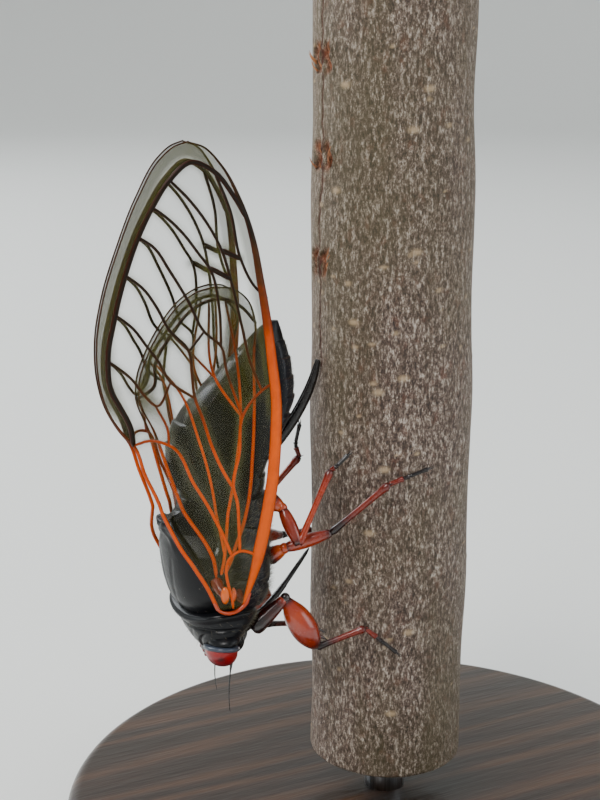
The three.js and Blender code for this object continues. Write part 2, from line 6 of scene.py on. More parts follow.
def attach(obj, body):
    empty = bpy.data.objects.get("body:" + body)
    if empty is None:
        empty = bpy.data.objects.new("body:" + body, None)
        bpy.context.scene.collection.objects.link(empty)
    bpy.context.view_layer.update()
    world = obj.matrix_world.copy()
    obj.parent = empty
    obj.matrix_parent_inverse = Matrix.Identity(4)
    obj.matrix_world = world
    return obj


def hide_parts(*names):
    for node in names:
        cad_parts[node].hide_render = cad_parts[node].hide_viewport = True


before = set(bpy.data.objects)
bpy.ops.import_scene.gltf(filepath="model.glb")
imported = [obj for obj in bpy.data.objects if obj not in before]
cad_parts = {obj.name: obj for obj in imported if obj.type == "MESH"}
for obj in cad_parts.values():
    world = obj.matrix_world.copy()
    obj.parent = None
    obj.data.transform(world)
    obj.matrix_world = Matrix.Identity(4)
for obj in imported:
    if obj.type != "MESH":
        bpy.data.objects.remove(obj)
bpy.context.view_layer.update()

# Camera: at the left of the insect and a little above it, close up, so that the twig fills a quarter of
# the picture's width and the insect hangs head down beside it. Its place comes from pixels of a picture
# 800 high, with the twig right of the middle. MID is the height of the insect frame's origin, in mm.
AZIMUTH, RISE = np.radians(-27.4), np.radians(14.0)
PICTURE_PX, FOCUS_PX, PX_PER_MM, TWIG_RIGHT_PX = 800, 1493.0, 14.0, 90
SENSOR = 36
MID = 34.0
back = np.array([np.sin(AZIMUTH) * np.cos(RISE), -np.cos(AZIMUTH) * np.cos(RISE), np.sin(RISE)])
right = np.array([np.cos(AZIMUTH), np.sin(AZIMUTH), 0.0])
up = np.cross(back, right)
spot = (FOCUS_PX * back - TWIG_RIGHT_PX * right) / PX_PER_MM + np.array([0, 0, MID])
camera = bpy.data.objects.new("camera", bpy.data.cameras.new("camera"))
camera.data.lens, camera.data.sensor_width = FOCUS_PX * SENSOR / PICTURE_PX, SENSOR
camera.data.clip_start, camera.data.clip_end = 0.005, 10
turn = np.eye(4)
turn[:3, :3], turn[:3, 3] = np.stack([right, up, back], 1), spot / 1000
camera.matrix_world = Matrix(turn.tolist())
bpy.context.scene.collection.objects.link(camera)
bpy.context.scene.camera = camera


# Studio: a pale round bowl of a floor, lit by a large soft lamp high on the left, a weaker one on the
# right and one behind, under a dim even sky.
def mesh_of(name, points, quads, fans=(), marks=None, uv=None):
    """Mesh object from points (n, 3) in metres, four-cornered faces and three-cornered ones."""
    quads, fans = np.asarray(quads, int).reshape(-1, 4), np.asarray(fans, int).reshape(-1, 3)
    corners = np.concatenate([quads.ravel(), fans.ravel()])
    starts = np.concatenate([np.arange(len(quads)) * 4, len(quads) * 4 + np.arange(len(fans)) * 3])
    mesh = bpy.data.meshes.new(name)
    mesh.vertices.add(len(points))
    mesh.vertices.foreach_set("co", np.asarray(points, np.float32).ravel())
    mesh.loops.add(len(corners))
    mesh.loops.foreach_set("vertex_index", corners.astype(np.int32))
    mesh.polygons.add(len(starts))
    mesh.polygons.foreach_set("loop_start", starts.astype(np.int32))
    mesh.polygons.foreach_set("use_smooth", np.ones(len(starts), bool))
    mesh.update(calc_edges=True)
    for key, values in (marks or {}).items():
        mesh.attributes.new(key, "FLOAT", "POINT").data.foreach_set(
            "value", np.asarray(values, np.float32))
    if uv is not None:
        mesh.uv_layers.new(name="OFBake").data.foreach_set(
            "uv", np.asarray(uv, np.float32)[corners].ravel())
    thing = bpy.data.objects.new(name, mesh)
    bpy.context.scene.collection.objects.link(thing)
    return thing


def cells(rows, cols):
    """Four-cornered faces of a grid of points whose columns run round and meet."""
    here = np.arange(rows * cols).reshape(rows, cols)
    beside = np.roll(here, -1, 1)
    return np.stack([here[:-1], beside[:-1], beside[1:], here[1:]], -1).reshape(-1, 4)


def finish(name, **fixed):
    """New material; the Principled shader's own sockets are set to the fixed values."""
    material = bpy.data.materials.new(name)
    material.use_nodes = True
    shader = material.node_tree.nodes["Principled BSDF"]
    for key, value in fixed.items():
        shader.inputs[key.replace("_", " ")].default_value = value
    return material, material.node_tree, shader


def rgb(code):
    """Linear colour with alpha from a six-digit sRGB code."""
    c = np.array([int(code[i:i + 2], 16) for i in (0, 2, 4)]) / 255
    return (*np.where(c <= 0.04045, c / 12.92, ((c + 0.055) / 1.055) ** 2.4).tolist(), 1.0)


FLOOR_SIDES = 96
turns = np.linspace(0, 2 * np.pi, FLOOR_SIDES, endpoint=False)
bend = np.linspace(0, np.pi / 2, 14)
floor_r = np.concatenate([[0.02, 0.3, 0.6], 0.8 + 0.5 * np.sin(bend), [1.3]])[:, None]
floor_z = np.concatenate([[0, 0, 0], 0.5 - 0.5 * np.cos(bend), [1.3]])[:, None]
sheet = np.stack([floor_r * np.cos(turns), floor_r * np.sin(turns), floor_z + 0 * turns], -1)
floor = mesh_of("studio_floor", sheet.reshape(-1, 3), cells(*sheet.shape[:2])[:, ::-1],
                [[0, i, i + 1] for i in range(1, FLOOR_SIDES - 1)])
floor.data.materials.append(finish("studio_paper", Base_Color=rgb("eeefec"), Roughness=0.9)[0])


def lamp(name, place, size, watts, colour):
    """Square soft lamp at a place in metres, aimed at the insect."""
    light = bpy.data.lights.new(name, "AREA")
    light.size, light.energy, light.color = size, watts, colour
    thing = bpy.data.objects.new(name, light)
    thing.location = place
    thing.rotation_mode = "QUATERNION"
    thing.rotation_quaternion = (Vector((0, 0, MID / 1000)) - Vector(place)).to_track_quat("-Z", "Y")
    bpy.context.scene.collection.objects.link(thing)


lamp("key_lamp", (-0.42, -0.22, 0.62), 0.34, 4.6, (1, 0.98, 0.95))
lamp("fill_lamp", (0.45, -0.45, 0.28), 0.4, 1.1, (0.93, 0.97, 1))
lamp("back_lamp", (-0.25, 0.5, 0.45), 0.3, 3.4, (0.92, 0.97, 1))
world = bpy.data.worlds.new("studio_air")
world.use_nodes = True
world.node_tree.nodes["Background"].inputs["Color"].default_value = (0.86, 0.9, 0.95, 1)
world.node_tree.nodes["Background"].inputs["Strength"].default_value = 0.55
bpy.context.scene.world = world

# Base: a flat disc turned from dark walnut, its upper edge rounded over and its lower one eased, then
# oiled. The pin stands in its middle and carries the twig.
BASE_R, BASE_H = 24.0, 4.0
TOP_EDGE, LOW_EDGE = 1.0, 0.4
BARK_R = 5.6


def closed(name, skins, marks=None, placed=False):
    """One mesh from closed skins. A skin is a grid (rows, columns, 3) in millimetres whose columns
    run round and meet, with each end row closed by a fan to its middle. It is in the scene's frame
    if placed, and otherwise in the insect's. marks holds, by name, a list with a value, a column or
    a grid of values for each skin. Faces are turned by the sign of the skin's volume."""
    points, quads, fans, start = [], [], [], 0
    values = {key: [] for key in marks or {}}
    for i, skin in enumerate(skins):
        q = np.asarray(skin, float) / 1000 if placed else on_bark(skin)
        rows, cols = q.shape[:2]
        first, last = np.arange(cols), np.arange(cols) + (rows - 1) * cols
        low, high = np.full(cols, rows * cols), np.full(cols, rows * cols + 1)
        four = cells(rows, cols)
        three = np.concatenate([np.stack([low, np.roll(first, -1), first], -1),
                                np.stack([high, last, np.roll(last, -1)], -1)])
        flat = np.concatenate([q.reshape(-1, 3), [q[0].mean(0), q[-1].mean(0)]])
        tri = np.concatenate([four[:, [0, 1, 2]], four[:, [0, 2, 3]], three])
        a, b, c = (flat[tri[:, k]] - flat.mean(0) for k in range(3))
        if (np.cross(a, b) * c).sum() < 0:
            four, three = four[:, ::-1], three[:, ::-1]
        points.append(flat)
        quads.append(four + start)
        fans.append(three + start)
        start += len(flat)
        for key, given in (marks or {}).items():
            v = np.broadcast_to(given[i], (rows, cols))
            values[key].append(np.concatenate([v.ravel(), [v[0].mean(), v[-1].mean()]]))
    return mesh_of(name, np.concatenate(points), np.concatenate(quads), np.concatenate(fans),
                   {key: np.concatenate(v) for key, v in values.items()})


def on_bark(p):
    """Insect frame in millimetres, x to the head, y to its left, z away from the bark, to metres
    in the scene: the insect clings head down to the -X side of the twig."""
    p = np.asarray(p, float)
    return np.stack([-(p[..., 2] + BARK_R), -p[..., 1], MID - p[..., 0]], -1) / 1000


def turned_form(radii, heights, sides):
    """Grid of a lathe form about Z from its profile of radii and heights."""
    a = np.linspace(0, 2 * np.pi, sides, endpoint=False)
    r, z = np.asarray(radii)[:, None], np.asarray(heights)[:, None]
    return np.stack([r * np.cos(a), r * np.sin(a), z + 0 * a], -1)


def node(tree, kind, settings=(), **inputs):
    """Shader node; inputs are values or other nodes' sockets, named as on the node."""
    n = tree.nodes.new("ShaderNode" + kind)
    for key, value in dict(settings).items():
        setattr(n, key, value)
    for key, value in inputs.items():
        feed(tree, value, n.inputs[key.replace("_", " ")])
    return n


def feed(tree, value, entry):
    """Joins a socket to the entry, or sets the entry's own value."""
    if isinstance(value, bpy.types.NodeSocket):
        tree.links.new(value, entry)
    else:
        entry.default_value = value


def mix(tree, share, a, b, way="MIX"):
    """Colour a changed towards colour b by a share of 0 to 1."""
    n = tree.nodes.new("ShaderNodeMix")
    n.data_type, n.blend_type = "RGBA", way
    for value, entry in ((share, n.inputs[0]), (a, n.inputs[6]), (b, n.inputs[7])):
        feed(tree, value, entry)
    return n.outputs[2]


def sums(tree, way, a, b=0.0, clamp=False):
    """Arithmetic on two values."""
    n = tree.nodes.new("ShaderNodeMath")
    n.operation, n.use_clamp = way, clamp
    feed(tree, a, n.inputs[0])
    feed(tree, b, n.inputs[1])
    return n.outputs[0]


def ramp(tree, share, stops):
    """Colour read from stops of (place, sRGB code)."""
    n = node(tree, "ValToRGB", Fac=share)
    for i, (place, code) in enumerate(stops):
        e = n.color_ramp.elements[i] if i < 2 else n.color_ramp.elements.new(place)
        e.position, e.color = place, rgb(code)
    return n.outputs["Color"]


def bump(tree, shader, height, distance, strength=1.0):
    """Height in the shader's normal, distance in metres."""
    b = node(tree, "Bump", Height=height, Distance=distance, Strength=strength)
    tree.links.new(b.outputs[0], shader.inputs["Normal"])


walnut, tree, shader = finish("oiled_walnut", Roughness=0.34, Coat_Weight=0.25, Coat_Roughness=0.2)
place = node(tree, "TexCoord").outputs["Object"]
long_grain = node(tree, "Mapping", Vector=place, Scale=(0.12, 1.0, 1.0)).outputs[0]
growth = node(tree, "TexWave", {"wave_type": "BANDS", "bands_direction": "Y"}, Vector=long_grain,
              Scale=95.0, Distortion=7.0, Detail=4.0, Detail_Scale=2.2)
pores = node(tree, "TexNoise", Vector=long_grain, Scale=2600.0, Detail=3.0)
colour = ramp(tree, growth.outputs["Fac"], [(0.0, "2a1a10"), (1.0, "4d3220"), (0.55, "38241a")])
colour = mix(tree, sums(tree, "MULTIPLY", pores.outputs["Fac"], 0.5), colour, rgb("150c07"))
tree.links.new(colour, shader.inputs["Base Color"])
bump(tree, shader, pores.outputs["Fac"], 0.00004)
q = np.linspace(0, np.pi / 2, 7)
disc_r = np.concatenate([[2, 23.2], BASE_R - LOW_EDGE + LOW_EDGE * np.sin(q),
                         BASE_R - TOP_EDGE + TOP_EDGE * np.cos(q), [12, 2]])
disc_z = np.concatenate([[0, 0], LOW_EDGE - LOW_EDGE * np.cos(q),
                         BASE_H - TOP_EDGE + TOP_EDGE * np.sin(q), [BASE_H, BASE_H]])
base = closed("stand_disc", [turned_form(disc_r, disc_z, 160)], placed=True)
base.data.materials.append(walnut)
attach(base, "root")
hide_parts("stand_base")

# Rod: a short brushed steel pin with bevelled ends, pressed into the middle of the base and into a
# hole in the twig's lower end. Only the length between them shows.
PIN_R, PIN_TOP, BEVEL = 1.5, 7.2, 0.1


def group(name, ins, outs):
    """New shader node group with named sockets; returns it and its two end nodes."""
    g = bpy.data.node_groups.new(name, "ShaderNodeTree")
    for label, kind, value in ins:
        s = g.interface.new_socket(label, in_out="INPUT", socket_type="NodeSocket" + kind)
        if value is not None:
            s.default_value = value
    for label, kind in outs:
        g.interface.new_socket(label, in_out="OUTPUT", socket_type="NodeSocket" + kind)
    return g, g.nodes.new("NodeGroupInput"), g.nodes.new("NodeGroupOutput")


# Fine relief: two sizes of grain, drawn out along Z by a stretch, as a shade and as a height.
grain, grain_in, grain_out = group(
    "fine_relief", [("Place", "Vector", None), ("Per metre", "Float", 1000.0),
                    ("Stretch", "Float", 1.0), ("Rough", "Float", 0.6)],
    [("Shade", "Float"), ("Height", "Float")])
scaled = node(grain, "CombineXYZ", X=1.0, Y=1.0, Z=grain_in.outputs["Stretch"])
stretched = node(grain, "VectorMath", {"operation": "MULTIPLY"})
grain.links.new(grain_in.outputs["Place"], stretched.inputs[0])
grain.links.new(scaled.outputs[0], stretched.inputs[1])
broad = node(grain, "TexNoise", Vector=stretched.outputs[0], Scale=grain_in.outputs["Per metre"],
             Detail=6.0, Roughness=grain_in.outputs["Rough"])
fine = node(grain, "TexNoise", Vector=stretched.outputs[0], Detail=3.0, Roughness=0.6,
            Scale=sums(grain, "MULTIPLY", grain_in.outputs["Per metre"], 4.3))
grain.links.new(broad.outputs["Fac"], grain_out.inputs["Shade"])
grain.links.new(sums(grain, "ADD", sums(grain, "MULTIPLY", broad.outputs["Fac"], 0.6),
                     sums(grain, "MULTIPLY", fine.outputs["Fac"], 0.4)),
                grain_out.inputs["Height"])


def relief(tree, per_metre, stretch=1.0, rough=0.6):
    """Places the fine relief group on the piece's Object coordinates."""
    n = tree.nodes.new("ShaderNodeGroup")
    n.node_tree = grain
    for key, value in (("Per metre", per_metre), ("Stretch", stretch), ("Rough", rough),
                       ("Place", node(tree, "TexCoord").outputs["Object"])):
        feed(tree, value, n.inputs[key])
    return n


steel, tree, shader = finish("brushed_steel", Metallic=1.0, Roughness=0.3)
brushed = relief(tree, 9000.0, 0.03)
tree.links.new(ramp(tree, brushed.outputs["Shade"], [(0.3, "8f9296"), (0.7, "c4c6c8")]),
               shader.inputs["Base Color"])
tree.links.new(sums(tree, "ADD", sums(tree, "MULTIPLY", brushed.outputs["Shade"], 0.25), 0.18),
               shader.inputs["Roughness"])
pin_r = [0.4, PIN_R - BEVEL, PIN_R, PIN_R, PIN_R - BEVEL, 0.4]
pin_z = [BASE_H - BEVEL, BASE_H - BEVEL, BASE_H, PIN_TOP, PIN_TOP + BEVEL, PIN_TOP + BEVEL]
pin = closed("stand_pin", [turned_form(pin_r, pin_z, 48)], placed=True)
pin.data.materials.append(steel)
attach(pin, "root")
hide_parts("stand_rod")

# Twig: a living hardwood shoot 11 mm thick with thin grey-brown bark, pale lenticels that run across
# it and, facing the insect, a cracked row of egg slits with raised splintered lips. It is cut off
# square and stands on the pin.
TWIG_LOW, TWIG_TOP, TWIG_R = PIN_TOP, 65.0, 5.72
TWIG_ROWS, TWIG_SIDES = 400, 236
LID_SHARES = (0.05, 0.3, 0.6, 0.9, 0.97)
SLITS = (44.3, 51.5, 57.9)
# The largest lenticels, as height and bearing in degrees, and how many small ones are strewn between.
LENTICELS = [(40.6, -147), (35.9, -129), (36.9, -112), (18.5, -105), (25.9, -134), (53.4, -108),
             (45.4, -104), (56.2, -156), (30.5, -124), (12.4, -117), (49.3, -164), (56, -97)]
SMALL_LENTICELS = 110
rng = np.random.default_rng(17)


def twig_radius(z, a):
    """Slightly tapered and uneven round section at height z and bearing a."""
    return (TWIG_R - 0.22 * np.abs(z - MID + 3) / 30 + 0.07 * np.sin(0.45 * z + 2 * a)
            + 0.06 * np.sin(3 * a + 0.11 * z)
            + 0.02 * np.sin(7 * a + 0.5 * z) + 0.015 * np.sin(13 * a - 0.8 * z))


def round_bark(a, b):
    """Millimetres round the bark from bearing b to bearing a, by the shorter way."""
    return ((a - b + np.pi) % (2 * np.pi) - np.pi) * BARK_R


def ridge(u, width):
    """Rounded ridge of height 1 at u = 0: e to the power of minus the square of u over width."""
    return np.exp(-(u / width) ** 2)


around = np.linspace(-np.pi, np.pi, TWIG_SIDES, endpoint=False)
bearing, height = np.meshgrid(np.pi + around - 0.62 * np.sin(around),
                              np.linspace(TWIG_LOW, TWIG_TOP, TWIG_ROWS))
radius = twig_radius(height, bearing)
cork, slit = np.zeros_like(radius), np.zeros_like(radius)
spots = [(z, np.radians(a), 0.36, 0.2) for z, a in LENTICELS]
spots += zip(rng.uniform(8.5, 64, SMALL_LENTICELS), rng.uniform(-np.pi, np.pi, SMALL_LENTICELS),
             rng.uniform(0.1, 0.28, SMALL_LENTICELS), rng.uniform(0.07, 0.14, SMALL_LENTICELS))
for z, a, wide, high in spots:
    u, v = round_bark(bearing, a) / wide, height - z
    lens = np.exp(-(u ** 2 + (v / high) ** 2) ** 1.5)
    radius += 0.4 * high * lens - 0.22 * high * ridge(u, 0.75) * ridge(v, 0.05)
    cork = np.maximum(cork, lens)
# A slit is two ragged pits side by side, with a lip between them and a lower one at either side.
across = round_bark(bearing, np.pi)
for z in SLITS:
    u = across - 0.1 * np.sin(2.1 * height + z) - 0.05 * np.sin(5.3 * height)
    long = np.exp(-(((height - z) / 0.9) ** 4))
    torn = 0.14 * np.sin(4.1 * height + z)
    pits = np.exp(-((u + 0.62 + torn) / 0.4) ** 4) + 0.85 * np.exp(-((u - 0.62 + torn) / 0.28) ** 4)
    radius += long * (0.2 * ridge(u - 0.06, 0.17) + 0.12 * ridge(np.abs(u + 0.04) - 1.2, 0.16))
    radius -= 0.4 * long * pits
    slit = np.maximum(slit, long * np.clip(pits, 0, 1))
u = across - 0.12 * np.sin(0.9 * height) - 0.06 * np.sin(3.7 * height + 1) - 0.03 * np.sin(9.1 * height)
crack = ridge(u, 0.075) * (0.5 + 0.5 * np.clip((height - 36.4) / 0.6, -1, 1))
radius -= 0.1 * crack
edge = np.clip(np.minimum(height - TWIG_LOW, TWIG_TOP - height) / 0.25, 0, 1)
radius -= 0.2 * (1 - np.sqrt(np.clip(1 - (1 - edge) ** 2, 0, 1)))
side = np.stack([radius * np.cos(bearing), radius * np.sin(bearing), height], -1)
lids = [side[[0]] * [k, k, 1] for k in LID_SHARES]
tops = [side[[-1]] * [k, k, 1] for k in LID_SHARES[::-1]]
lid_rows = ((len(LID_SHARES), len(LID_SHARES)), (0, 0))
wood = np.pad(np.zeros_like(radius), lid_rows, constant_values=1)
twig = closed("perch_twig_bark", [np.concatenate([*lids, side, *tops])],
              {"cork": [np.pad(cork, lid_rows)], "slit": [np.pad(slit, lid_rows)],
               "crack": [np.pad(crack, lid_rows)], "wood": [wood]}, placed=True)


def mark(tree, name):
    """The piece's own attribute of that name."""
    return node(tree, "Attribute", {"attribute_name": name}).outputs["Fac"]


bark, tree, shader = finish("thin_bark", Roughness=0.66, Sheen_Weight=0.4, Sheen_Roughness=0.3,
                            Sheen_Tint=rgb("b8a08e"))
patch = relief(tree, 110.0, 0.35)
fleck = relief(tree, 4300.0, 0.4, 0.92)
streak = relief(tree, 1700.0, 0.12, 0.6)
rust = relief(tree, 1300.0, 0.7, 0.6)
colour = ramp(tree, fleck.outputs["Shade"],
              [(0.4, "120a06"), (0.61, "d6cabc"), (0.47, "48342a"), (0.54, "7c6a5e")])
colour = mix(tree, ramp(tree, streak.outputs["Shade"], [(0.45, "000000"), (0.62, "999999")]),
             colour, rgb("4a3a2c"))
colour = mix(tree, ramp(tree, rust.outputs["Shade"], [(0.57, "000000"), (0.7, "a8a8a8")]),
             colour, rgb("6e3a24"))
colour = mix(tree, ramp(tree, patch.outputs["Shade"], [(0.4, "000000"), (0.58, "a8a8a8")]),
             colour, rgb("4b461e"))
colour = mix(tree, sums(tree, "MULTIPLY", mark(tree, "cork"), 0.85), colour, rgb("b59c7a"))
colour = mix(tree, mark(tree, "crack"), colour, rgb("4a1c10"))
colour = mix(tree, mark(tree, "slit"), colour,
             ramp(tree, fleck.outputs["Shade"], [(0.42, "4a1800"), (0.58, "a04804")]))
place = node(tree, "TexCoord").outputs["Object"]
year_rings = node(tree, "TexWave", {"wave_type": "RINGS", "rings_direction": "Z"}, Vector=place,
                  Scale=330.0, Distortion=1.5, Detail=3.0, Detail_Scale=4.0)
cut = ramp(tree, year_rings.outputs["Fac"], [(0.0, "b3946a"), (1.0, "d8c29a")])
colour = mix(tree, mark(tree, "wood"), colour, cut)
tree.links.new(colour, shader.inputs["Base Color"])
bump(tree, shader, sums(tree, "ADD", fleck.outputs["Height"],
                        sums(tree, "MULTIPLY", streak.outputs["Height"], 0.8)), 0.00016, 0.8)
twig.data.materials.append(bark)
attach(twig, "root")
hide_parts("perch_twig")

# Splinters: torn fibres of bark and wood, rust brown and stiff, that the ovipositor's saw lifts as it
# works. They stand round each egg slit, still rooted in its lips.


def curve(points, count):
    """Smooth curve (cubic Hermite on chord length) through rows of any width, read at equal steps."""
    p = np.asarray(points, float)
    k = np.concatenate([[0], np.cumsum(np.linalg.norm(np.diff(p[:, :3], axis=0), axis=1))])
    return hermite(k, p, np.linspace(0, k[-1], count))


def hermite(k, p, t):
    """Cubic through the rows p at places k, read at t, with slopes from the rows either side."""
    m = np.gradient(p, k, axis=0)
    i = np.clip(np.searchsorted(k, t, side="right") - 1, 0, len(k) - 2)
    h = (k[i + 1] - k[i])
    s = np.clip((t - k[i]) / h, 0, 1)[..., None]
    h = h[..., None]
    return ((2 * s ** 3 - 3 * s ** 2 + 1) * p[i] + (s ** 3 - 2 * s ** 2 + s) * h * m[i]
            + (3 * s ** 2 - 2 * s ** 3) * p[i + 1] + (s ** 3 - s ** 2) * h * m[i + 1])


def tube(path, wide, high=None, sides=10, across=(0, 1, 0)):
    """Grid of an oval section carried along a path. wide is its half width across the path, nearest
    the direction across, and high its half height."""
    path = np.asarray(path, float)
    t = np.gradient(path, axis=0)
    t /= np.linalg.norm(t, axis=1)[:, None]
    u = np.broadcast_to(across, t.shape) - t * (t @ np.array(across, float))[:, None]
    u /= np.maximum(np.linalg.norm(u, axis=1), 1e-6)[:, None]
    v = np.cross(t, u)
    a = np.linspace(0, 2 * np.pi, sides, endpoint=False)
    wide = np.broadcast_to(wide, len(path))[:, None, None]
    high = wide if high is None else np.broadcast_to(high, len(path))[:, None, None]
    return (path[:, None] + wide * np.cos(a)[:, None] * u[:, None]
            + high * np.sin(a)[:, None] * v[:, None])


shards = []
for z in SLITS:
    x0 = MID - z
    for i in range(8):
        y = rng.choice([-1.15, -0.05, 1.1]) + rng.uniform(-0.12, 0.12)
        x = x0 + rng.uniform(-0.8, 0.7)
        long, out = rng.uniform(0.3, 0.65), rng.uniform(0.05, 0.22)
        shards.append(tube(curve([[x + 0.3, y * 0.8, -0.15], [x - 0.2 * long, y, 0.1 + out * 0.3],
                                  [x - long, y * 1.25, out]], 7),
                           np.linspace(0.13, 0.015, 7) * rng.uniform(0.7, 1.2),
                           np.linspace(0.07, 0.01, 7), 6))
splint, tree, shader = finish("torn_bark", Roughness=0.65)
fibre = relief(tree, 2500.0, 0.15, 0.7)
tree.links.new(ramp(tree, fibre.outputs["Shade"], [(0.38, "5a260c"), (0.62, "b07444")]),
               shader.inputs["Base Color"])
bump(tree, shader, fibre.outputs["Height"], 0.00008)
splinters = closed("egg_slit_splinters", shards)
splinters.data.materials.append(splint)
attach(splinters, "root")

# Abdomen: ten overlapping hoops of thin black cuticle with a grey bloom above, paler at their hind
# edges and brown below. It is soft between the hoops, lies under the folded wings and meets the thorax.
BELLY_ROWS, BELLY_SIDES = 260, 96
BELLY = [[-6.6, 0.3, 3.35, 4.1], [-6.1, 0.6, 3.2, 4.8], [-5.3, 1, 2.95, 5.7],
         [-4.2, 1.55, 2.6, 6.9], [-2.9, 2.1, 2.4, 8.3], [-1.6, 2.55, 2.35, 9.75],
         [-0.3, 2.9, 2.75, 10.9], [1, 3.2, 3.45, 11.5], [2.3, 3.35, 4.45, 11.7],
         [3.5, 3.3, 4.8, 11.5], [4.65, 3, 4.8, 10.8], [5.6, 2.5, 5.2, 10]]
HOOPS = np.array([-6.1, -5.3, -4.2, -2.9, -1.6, -0.3, 1, 2.3, 3.5, 4.65])
# The folded forewings stand over it like a steep roof. The table gives, along x, the costal edge (z, y)
# and the dorsal edge (z, y) of their middle surface.
WING = np.array([
    [-18.8, 9.3, 0.5, 10.6, 0.35], [-17.3, 7.7, 0.9, 12.1, 0.25], [-15, 6.54, 1.3, 13.4, 0.22],
    [-12.4, 5.77, 1.75, 14.6, 0.2], [-9.8, 5.38, 2.1, 15.6, 0.2], [-7.2, 5.08, 2.5, 16.3, 0.2],
    [-4.6, 4.94, 3.0, 16.35, 0.2], [-2, 4.94, 3.65, 15.85, 0.2], [0.6, 5.25, 4.25, 14.3, 0.25],
    [3, 5.7, 4.7, 13.4, 0.4], [5.5, 6.15, 4.75, 12.4, 0.8], [7, 6.5, 4.65, 12, 2.1],
    [8.5, 6.8, 4.5, 11.4, 3.3], [11.7, 7.8, 4, 9.9, 4]])
WING_GAP, LEAST_HALF = 1.95, 0.35
SECTION_POWER = 2.3


def wing_y(x, z):
    """How far out the forewing's middle surface stands at x, z: straight from edge to edge, with a
    bulge that is a half wave between them."""
    low, y_low, high, y_high = (np.interp(x, WING[:, 0], WING[:, k]) for k in range(1, 5))
    s = np.clip((z - low) / np.maximum(high - low, 0.3), 0, 1)
    return y_low + (y_high - y_low) * s + 1.3 * np.sin(np.pi * s) * ridge(x - 2, 7.5)


def smooth(t):
    """Smooth step from 0 to 1 of a value clipped to that range."""
    t = np.clip(t, 0, 1)
    return t * t * (3 - 2 * t)


def body_skin(rows, steps, sides, room=WING_GAP, ease=None):
    """Body skin through a table of rings [x, half width, low z, top z, sweep], read along a cubic.
    Each section is a superellipse, swept back at the sides by sweep times y squared. Under the folded
    wings it is held in by room, and near their hem it closes up to them. ease(x, angle) scales each
    section about its middle."""
    rows = np.array([(*r, 0)[:5] for r in rows], float)
    rows = rows[np.argsort(rows[:, 0])]
    x = np.linspace(rows[0, 0], rows[-1, 0], steps)[:, None]
    wide, low, top, sweep = hermite(rows[:, 0], rows[:, 1:], x[:, 0]).T[:, :, None]
    a = (np.arange(sides) + 0.5) * 2 * np.pi / sides
    k = 1.0 if ease is None else ease(x, a)
    c, s = np.cos(a), np.sin(a)
    z = (low + top) / 2 + k * (top - low) / 2 * np.sign(s) * np.abs(s) ** (2 / SECTION_POWER)
    y = k * wide * np.abs(c) ** (2 / SECTION_POWER) * np.sign(c)
    over = smooth((z - np.interp(x, WING[:, 0], WING[:, 3]) + 0.9) / 0.7)
    limit = np.maximum(wing_y(x, z) - room + (room - LEAST_HALF) * over, LEAST_HALF)
    lap = smooth((z - np.interp(x, WING[:, 0], WING[:, 1]) + 1.4) / 0.8) * (x < 12)
    held = np.minimum(np.abs(y), limit)
    y = np.sign(y) * (np.abs(y) + (held - np.abs(y)) * lap)
    return np.stack([x - sweep * y * y, y, z], -1)


def cuticle(name, stops, gloss=0.3, per_metre=2600.0, coat=0.35, shine=0.4):
    """Insect cuticle: colour from the piece's tone mark through the stops, clouded and pitted."""
    material, tree, shader = finish(name, Coat_Weight=coat, Coat_Roughness=0.11,
                                    Specular_IOR_Level=shine)
    cloud, pits = relief(tree, 600.0), relief(tree, per_metre, 1.0, 0.7)
    place = sums(tree, "ADD", mark(tree, "tone"),
                 sums(tree, "MULTIPLY", sums(tree, "SUBTRACT", cloud.outputs["Shade"], 0.5), 0.32))
    tree.links.new(ramp(tree, place, stops), shader.inputs["Base Color"])
    tree.links.new(sums(tree, "ADD", sums(tree, "MULTIPLY", pits.outputs["Shade"], 0.3),
                        gloss - 0.15), shader.inputs["Roughness"])
    bump(tree, shader, pits.outputs["Height"], 0.00002)
    return material


BODY_STOPS = [(0.0, "040406"), (1.0, "9a5018"), (0.3, "0b0c11"), (0.55, "1e1f26"), (0.75, "40220e")]
black = cuticle("black_cuticle", BODY_STOPS, coat=0.12, gloss=0.36, shine=0.2)


def hoop_share(x):
    """0 at each hoop's front edge, tucked under the one before, to 1 at its free hind edge."""
    i = np.clip(np.searchsorted(HOOPS, x, side="right") - 1, 0, len(HOOPS) - 2)
    return np.clip(1 - (x - HOOPS[i]) / (HOOPS[i + 1] - HOOPS[i]), 0, 1)


belly = body_skin(BELLY, BELLY_ROWS, BELLY_SIDES,
                  ease=lambda x, a: 0.955 + 0.045 * hoop_share(x) ** 0.7)
free = hoop_share(belly[..., 0])
below = np.clip((5.4 - belly[..., 2]) / 2.5, 0, 1) * np.clip((belly[..., 0] + 6.5) / 2, 0, 1)
tone = 0.22 + 0.26 * np.clip((free - 0.93) / 0.07, 0, 1) + 0.3 * below
abdomen = closed("abdomen_hoops", [belly], {"tone": [tone]})
abdomen.data.materials.append(black)
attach(abdomen, "root")
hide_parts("abdomen")

# Thorax: one arched glossy black shield with faint furrows, the raised cross behind it, and hairy
# side plates above the legs. It is a single hard box that carries both pairs of wings.
CHEST_ROWS, CHEST_SIDES = 220, 144
CHEST = [[12.9, 3.05, 5.2, 10.7, 0.044], [12.6, 3.2, 5, 10.85, 0.044], [12.2, 3.35, 4.8, 11.15, 0.04],
         [11, 3.6, 4.6, 11.6], [9.6, 3.7, 4.6, 11.85], [8.2, 3.6, 4.6, 11.95], [7.4, 3.4, 4.6, 11.9],
         [6.8, 3.2, 4.6, 12.15], [6.3, 3.1, 4.6, 12.1], [5.9, 3, 4.65, 11.2],
         [4.95, 2.95, 4.75, 10.8]]


